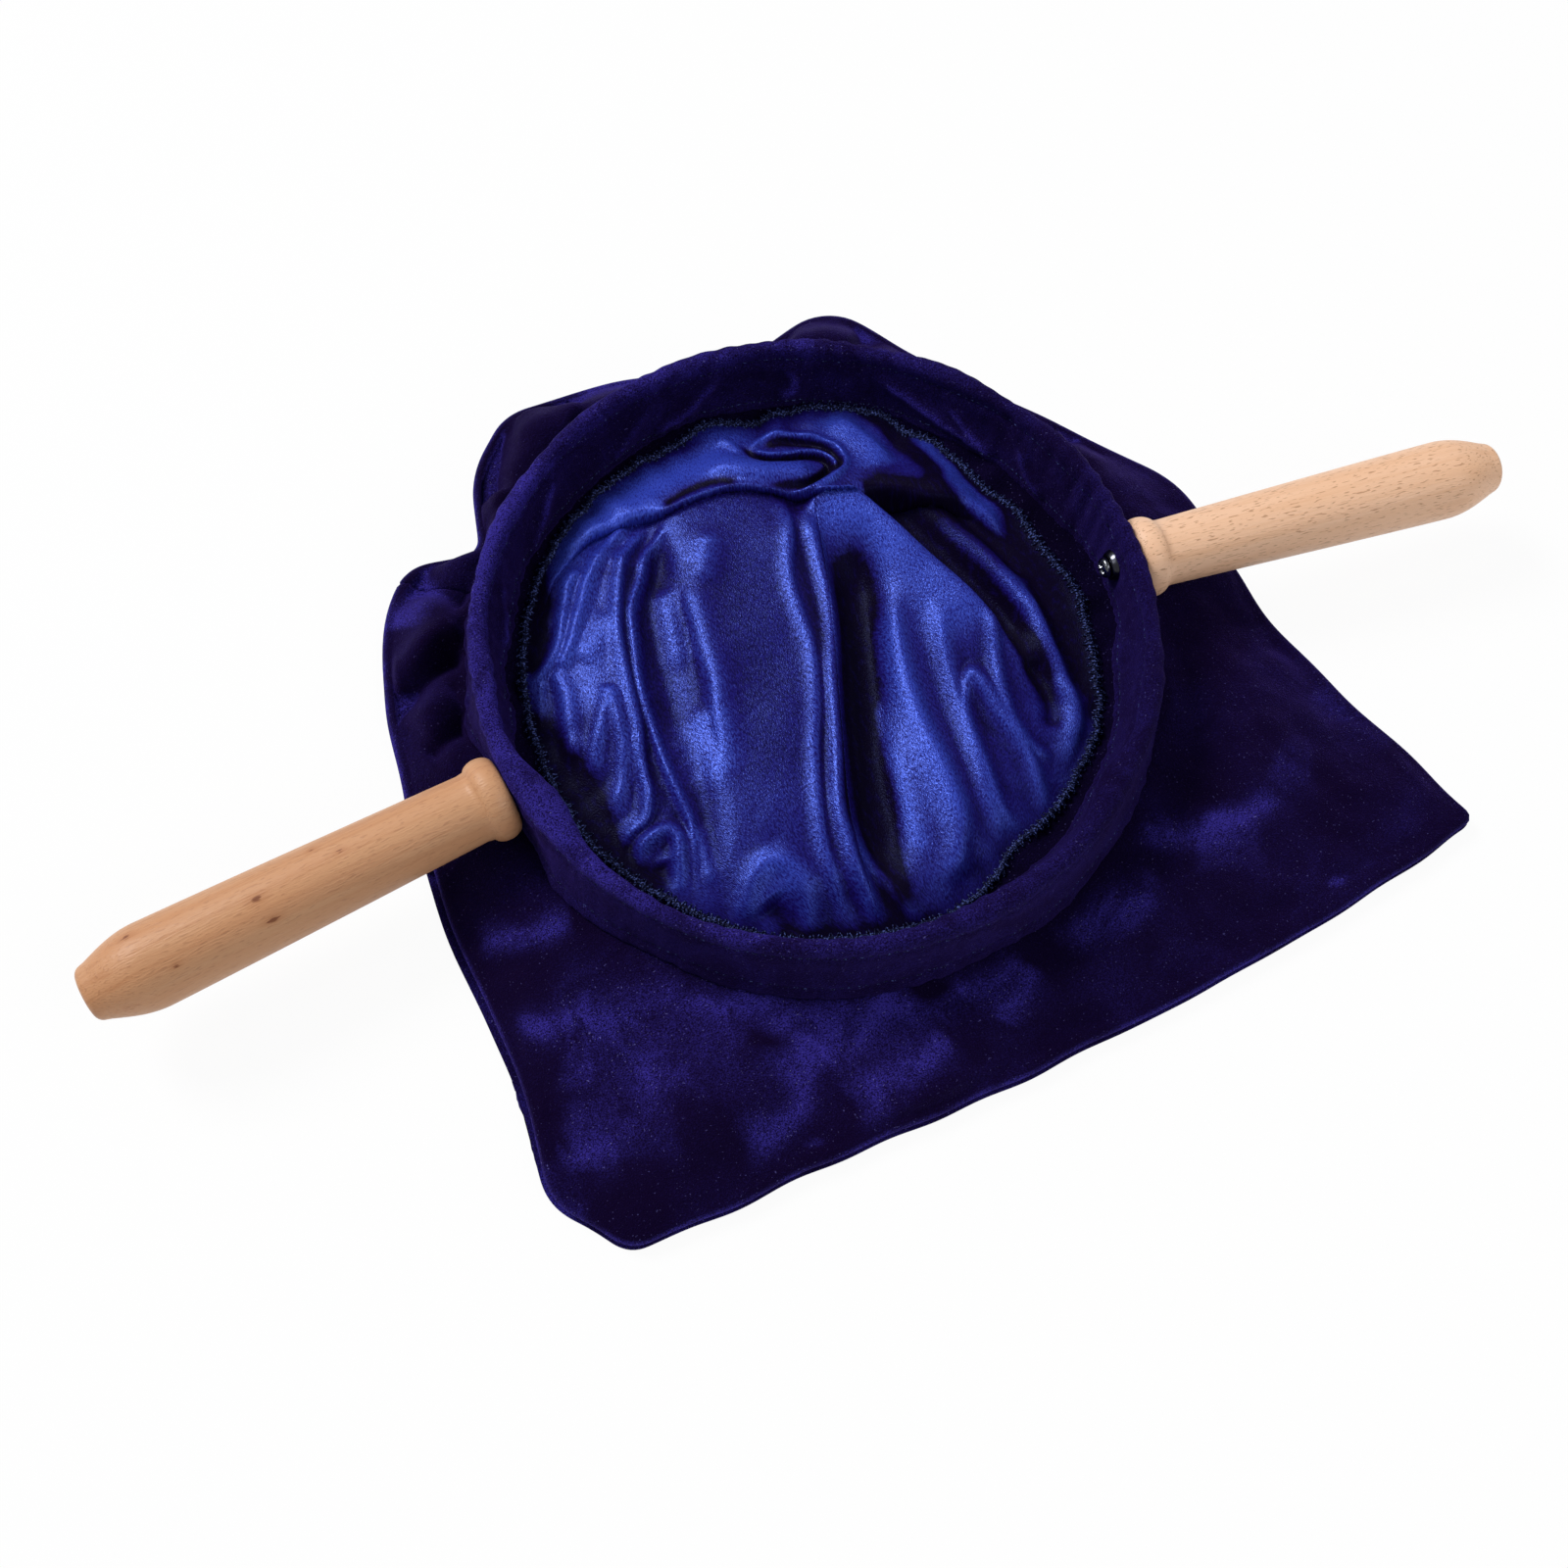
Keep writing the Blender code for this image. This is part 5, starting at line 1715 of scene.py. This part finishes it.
@dataclass
class Handle:
    """One turned beech handle, with the screw and the cup washer that hold it."""

    mouth: Mouth
    hold: Handhold
    wood: BeechFinish
    bright: SteelFinish
    pressed: SteelFinish
    drop: float = 0.016
    length: float = 0.147
    end_gap: float = 0.0003
    bead_radius: float = 0.0148
    bead_length: float = 0.0105
    bead_rounding: float = 0.0034
    bead_step: float = 0.0022
    bead_chamfer: float = 0.0032
    waist_power: float = 1.15
    neck_radius: float = 0.0121
    belly_radius: float = 0.0146
    belly_place: float = 0.125
    tip_radius: float = 0.0096
    tip_rounding: float = 0.0030
    pilot_radius: float = 0.0024
    pilot_depth: float = 0.0245
    drill_point: float = 0.0015
    head_radius: float = 0.0038
    head_height: float = 0.0026
    head_edge: float = 0.0002
    head_side: float = 0.30
    dome_power: float = 0.8
    head_gap: float = 0.0003
    shank_radius: float = 0.0021
    screw_length: float = 0.032
    point: float = 0.0022
    point_radius: float = 0.0012
    first_turn: float = 0.004
    screw_turns: int = 14
    screw_pitch: float = 0.0016
    screw_depth: float = 0.0004
    recess_depth: float = 0.0013
    recess_floor: float = 0.35
    recess_arm: tuple[float, float] = (0.00045, 0.00080)
    recess_reach: tuple[float, float] = (0.0018, 0.0024)
    washer_radius: float = 0.0060
    washer_hole: float = 0.0026
    washer_height: float = 0.0020
    washer_sheet: float = 0.0008
    washer_shoulder: float = 0.72
    washer_seat: float = 0.1132

    def along(self, distance: float) -> Matrix:
        """Stands a turned shape on the handle's axis, its own +Z pointing out along the handle."""
        azimuth = self.hold.azimuth
        spot = self.mouth.centre + Vector(
            (distance * math.cos(azimuth), distance * math.sin(azimuth), -self.drop)
        )
        turn = Matrix.Rotation(azimuth, 4, "Z") @ Matrix.Rotation(math.pi / 2, 4, "Y")
        return Matrix.Translation(spot) @ turn

    def wood_profile(self) -> Array:
        """The turned outline from the tip down to the bead's flat end, and its pilot hole."""
        tip = [(0.0, self.length)]
        for angle in np.radians(np.linspace(8, 78, 9)):
            radius = self.tip_radius - self.tip_rounding * (1 - math.sin(angle))
            tip.append((radius, self.length - self.tip_rounding * (1 - math.cos(angle))))
        shoulder = self.length - self.tip_rounding
        swell = []
        for share in np.linspace(0.06, 1.0, 16):
            grown = math.sin(math.pi / 2 * share)
            radius = self.tip_radius + (self.belly_radius - self.tip_radius) * grown
            swell.append((radius, shoulder - (shoulder - self.belly_place) * share))
        neck = self.bead_length + self.bead_step
        waist = []
        for share in np.linspace(0.06, 1.0, 18):
            shrunk = share**self.waist_power
            radius = self.belly_radius + (self.neck_radius - self.belly_radius) * shrunk
            waist.append((radius, self.belly_place + (neck - self.belly_place) * share))
        bead = []
        for angle in np.radians(np.linspace(-72, 74, 15)):
            radius = self.bead_radius - self.bead_rounding * (1 - math.cos(angle))
            bead.append((radius, self.bead_length / 2 * (1 - math.sin(angle))))
        pilot = [(self.bead_radius - self.bead_chamfer, 0.0), (self.pilot_radius, 0.0),
                 (self.pilot_radius, self.pilot_depth), (0.0, self.pilot_depth + self.drill_point)]
        return np.array(tip + swell + waist + bead + pilot)

    def screw_profile(self) -> Array:
        """The screw from its point up the threaded shank to the pan head's dome."""
        shank = [(0.0, self.screw_length), (self.point_radius, self.screw_length - self.point)]
        root = self.shank_radius - self.screw_depth
        for index in range(self.screw_turns):
            start = self.screw_length - self.first_turn - index * self.screw_pitch
            shank += [(self.shank_radius, start), (root, start - self.screw_pitch / 2)]
        shank.append((self.shank_radius, 0.0))
        head = [(self.head_radius - self.head_edge, 0.0), (self.head_radius, -self.head_edge)]
        for angle in np.radians(np.linspace(0, 86, 12)):
            radius = self.head_radius * math.cos(angle) ** self.dome_power
            grown = self.head_side + (1 - self.head_side) * math.sin(angle)
            head.append((radius, -self.head_height * grown))
        head.append((0.0, -self.head_height))
        return np.array(shank + head)

    def recess(self, mesh: Mesh, place: Matrix) -> None:
        """Sinks the cross recess into the head."""
        back = place.inverted()
        outward = (place.to_3x3() @ Vector((0, 0, 1))).normalized()
        for vert in mesh.vertices:
            own = back @ vert.co
            if own.z > -self.head_height * self.recess_floor:
                continue
            arm = 1 - ease(*self.recess_arm, min(abs(own.x), abs(own.y)))
            reach = 1 - ease(*self.recess_reach, max(abs(own.x), abs(own.y)))
            vert.co += outward * float(arm * reach) * self.recess_depth

    def washer_profile(self) -> Array:
        """A pressed cup washer: its rim lies on the velvet and its top seats the head."""
        low, high = self.washer_height - self.washer_sheet, self.washer_height
        shoulder = self.washer_radius * self.washer_shoulder
        outer = [(self.washer_radius, 0.0), (self.washer_radius - 0.0002, -0.0006)]
        outer += [
            (shoulder + 0.0009 * math.cos(a), -high + 0.0008 * (1 - math.sin(a)))
            for a in np.radians(np.linspace(20, 85, 6))
        ]
        inner = [(self.washer_hole, -high), (self.washer_hole, -low), (shoulder - 0.0004, -low),
                 (self.washer_radius - 0.0008, 0.0)]
        return np.array(outer + inner + outer[:1])

    def build(self) -> None:
        """Builds the handle, its screw and its washer."""
        side = self.hold.side
        seat = self.along(self.mouth.rim_radius + self.end_gap)
        mesh = spun(f"{side}_handle_turned", self.wood_profile(), 112, seat, math.radians(50))
        handle = shown(f"{side}_handle_turned", mesh, f"{side}_handle")
        mesh.materials.append(self.wood.made())
        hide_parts(f"{side}_handle")
        head_place = self.along(self.washer_seat - self.washer_height - self.head_gap)
        mesh = spun(f"{side}_wood_screw", self.screw_profile(), 64, head_place, math.radians(40))
        self.recess(mesh, head_place)
        screw = shown(f"{side}_wood_screw", mesh, f"{side}_handle")
        mesh.materials.append(self.bright.made())
        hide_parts(f"{side}_screw")
        washer_place = self.along(self.washer_seat)
        mesh = spun(f"{side}_washer", self.washer_profile(), 64, washer_place, math.radians(40))
        washer = shown(f"{side}_washer", mesh, BAG)
        mesh.materials.append(self.pressed.made())
        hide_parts(f"{side}_cup_washer")
        log.info("%s handle, screw and washer", side)


# The studio


class Lamp(Enum):
    """The studio's soft boxes: name, place about the hoop's middle, size and power in watts."""

    KEY = ("key", (-1.86, 2.85, 3.30), 1.80, 172.0)
    FILL = ("fill", (0.75, -1.05, 1.40), 1.20, 10.0)
    SIDE = ("side", (-0.90, 0.20, 1.20), 0.60, 1.5)


@dataclass
class Studio:
    """A white table, three soft boxes and the camera where the photograph was taken."""

    mouth: Mouth
    eye: Vector = field(default_factory=lambda: Vector((-0.151085, -0.254695, 0.531801)))
    ahead: Vector = field(default_factory=lambda: Vector((0.198896, 0.349823, -0.915458)))
    up: Vector = field(default_factory=lambda: Vector((0.350472, 0.846957, 0.399791)))
    lens: float = 40.5
    sensor: float = 36.0
    floor_size: float = 3.0
    ambient: float = 0.27
    floor_glow: float = 0.94

    def camera(self) -> None:
        """Sets the camera at the photograph's place."""
        data = bpy.data.cameras.new("camera")
        data.lens, data.sensor_width = self.lens, self.sensor
        data.clip_start, data.clip_end = 0.01, 20.0
        camera = bpy.data.objects.new("camera", data)
        right = self.ahead.cross(self.up).normalized()
        up = right.cross(self.ahead).normalized()
        frame = Matrix((right, up, -self.ahead.normalized())).transposed().to_4x4()
        frame.translation = self.mouth.centre + self.eye
        camera.matrix_world = frame
        bpy.context.scene.collection.objects.link(camera)
        bpy.context.scene.camera = camera

    def lamps(self) -> None:
        """Hangs the soft boxes, each aimed at the mouth."""
        for lamp in Lamp:
            name, place, size, power = lamp.value
            data = bpy.data.lights.new(f"{name}_light", "AREA")
            data.shape, data.size, data.energy = "DISK", size, power
            made = bpy.data.objects.new(f"{name}_light", data)
            made.location = self.mouth.centre + Vector(place)
            made.rotation_euler = Vector(place).to_track_quat("Z", "Y").to_euler()
            bpy.context.scene.collection.objects.link(made)

    @staticmethod
    def seen(tree: bpy.types.NodeTree, *others: str) -> Socket:
        """1 for rays from the eye and for the other kinds that are named, else 0."""
        path = tree.nodes.new("ShaderNodeLightPath")
        total = path.outputs["Is Camera Ray"]
        for name in others:
            larger = tree.nodes.new("ShaderNodeMath")
            larger.operation = "MAXIMUM"
            tree.links.new(total, larger.inputs[0])
            tree.links.new(path.outputs[name], larger.inputs[1])
            total = larger.outputs[0]
        return total

    def floor(self) -> None:
        """The white table, which glows a little to the eye but keeps the object's shadow."""
        form = bmesh.new()
        bmesh.ops.create_grid(form, x_segments=2, y_segments=2, size=self.floor_size / 2)
        mesh = meshed("table", form)
        floor = bpy.data.objects.new("table", mesh)
        bpy.context.scene.collection.objects.link(floor)
        recipe = Recipe("white_table")
        recipe.finish(Base_Color=(0.86, 0.86, 0.87, 1.0), Roughness=0.85, Specular_IOR_Level=0.1)
        tree = recipe.tree
        glow = recipe.node("Emission", {"Color": (1.0, 1.0, 1.0, 1.0), "Strength": 1.0})
        seen = self.seen(tree, "Is Glossy Ray", "Is Transmission Ray")
        share = recipe.maths("MULTIPLY", seen, self.floor_glow)
        mix = recipe.node("MixShader", {"Fac": share})
        tree.links.new(recipe.shader.outputs[0], mix.inputs[1])
        tree.links.new(glow.outputs[0], mix.inputs[2])
        tree.links.new(mix.outputs[0], tree.nodes["Material Output"].inputs["Surface"])
        mesh.materials.append(recipe.material)

    def world(self) -> None:
        """Soft light from all round, which is plain white to the eye."""
        world = bpy.data.worlds.new("studio")
        world.use_nodes = True
        bpy.context.scene.world = world
        tree = world.node_tree
        background = tree.nodes["Background"]
        background.inputs["Color"].default_value = (1.0, 1.0, 1.0, 1.0)
        strength = tree.nodes.new("ShaderNodeMapRange")
        strength.inputs["To Min"].default_value = self.ambient
        tree.links.new(self.seen(tree), strength.inputs["Value"])
        tree.links.new(strength.outputs[0], background.inputs["Strength"])

    def build(self) -> None:
        """Sets up the studio and its plain view."""
        self.camera()
        self.lamps()
        self.world()
        self.floor()
        bpy.context.scene.view_settings.view_transform = "Standard"
        log.info("studio ready")


def main() -> None:
    """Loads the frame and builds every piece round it."""
    logging.basicConfig(level=logging.INFO, format="%(message)s")
    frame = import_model()
    hoop_low, hoop_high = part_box("hoop")
    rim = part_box("hoop_casing")[1].z
    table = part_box("back_velvet_panel")[0].z
    middle = (hoop_low + hoop_high) / 2
    mouth = Mouth(Vector((middle.x, middle.y, rim)))

    strip = SteelFinish("hoop_strip_steel", (0.43, 0.44, 0.46), 0.42, 12.0)
    hoop = frame["nodes"]["hoop"]
    hoop.data.materials.clear()
    hoop.data.materials.append(strip.made())

    # The casing's velvet carries sheen painted on the fold's lit side.
    casing_finish = VelvetFinish("casing_velvet", sheen_weight=0.22)
    Casing(mouth, casing_finish, ThreadFinish("stitch_thread")).build()
    # A darker copy of the velvet for the facing: painted shade on the strip, which lies in shadow.
    shaded = VelvetFinish("facing_velvet_painted_shade", ground=(0.0016, 0.0008, 0.0045),
                          painted_sheen_colour=(0.012, 0.007, 0.070), sheen_weight=0.10)
    Facing(mouth, shaded).build()
    OverlockSeam(mouth, ThreadFinish("overlock_thread")).build()
    Lining(mouth, SatinFinish("left_lining_satin"), SatinFinish("right_lining_satin")).build()
    front, back = VelvetFinish("front_velvet"), VelvetFinish("back_velvet")
    BagSkin(mouth, front, back, table - rim).build()

    left, right = mouth.handholds
    # Screw and washer are given darkened colours: painted dark reflections on bright plated steel.
    bright = SteelFinish("screw_steel_painted_reflection", (0.24, 0.25, 0.28), 0.14)
    pressed = SteelFinish("washer_steel_painted_reflection", (0.085, 0.088, 0.110), 0.20)
    left_wood = BeechFinish(
        "left_beech", left.azimuth, mouth.centre,
        pale=(0.600, 0.330, 0.180), warm=(0.560, 0.270, 0.130), dark=(0.420, 0.170, 0.070),
        fleck=(0.160, 0.040, 0.015), flecked=0.22, streaked=0.50,
        knots=((0.2069, 0.0013, -0.0022, 0.0010), (0.2052, 0.0088, -0.0054, 0.0009),
               (0.1853, -0.0067, -0.0044, 0.0006), (0.1773, -0.0015, -0.0029, 0.0006),
               (0.2476, -0.0065, -0.0030, 0.0008), (0.2374, 0.0088, -0.0046, 0.0006)),
    )
    right_wood = BeechFinish(
        "right_beech", right.azimuth, mouth.centre,
        pale=(0.880, 0.570, 0.390), warm=(0.840, 0.505, 0.310), dark=(0.690, 0.370, 0.195),
        fleck=(0.360, 0.170, 0.080),
    )
    Handle(mouth, left, left_wood, bright, pressed).build()
    Handle(mouth, right, right_wood, bright, pressed).build()
    Studio(mouth).build()


if __name__ == "__main__":
    main()
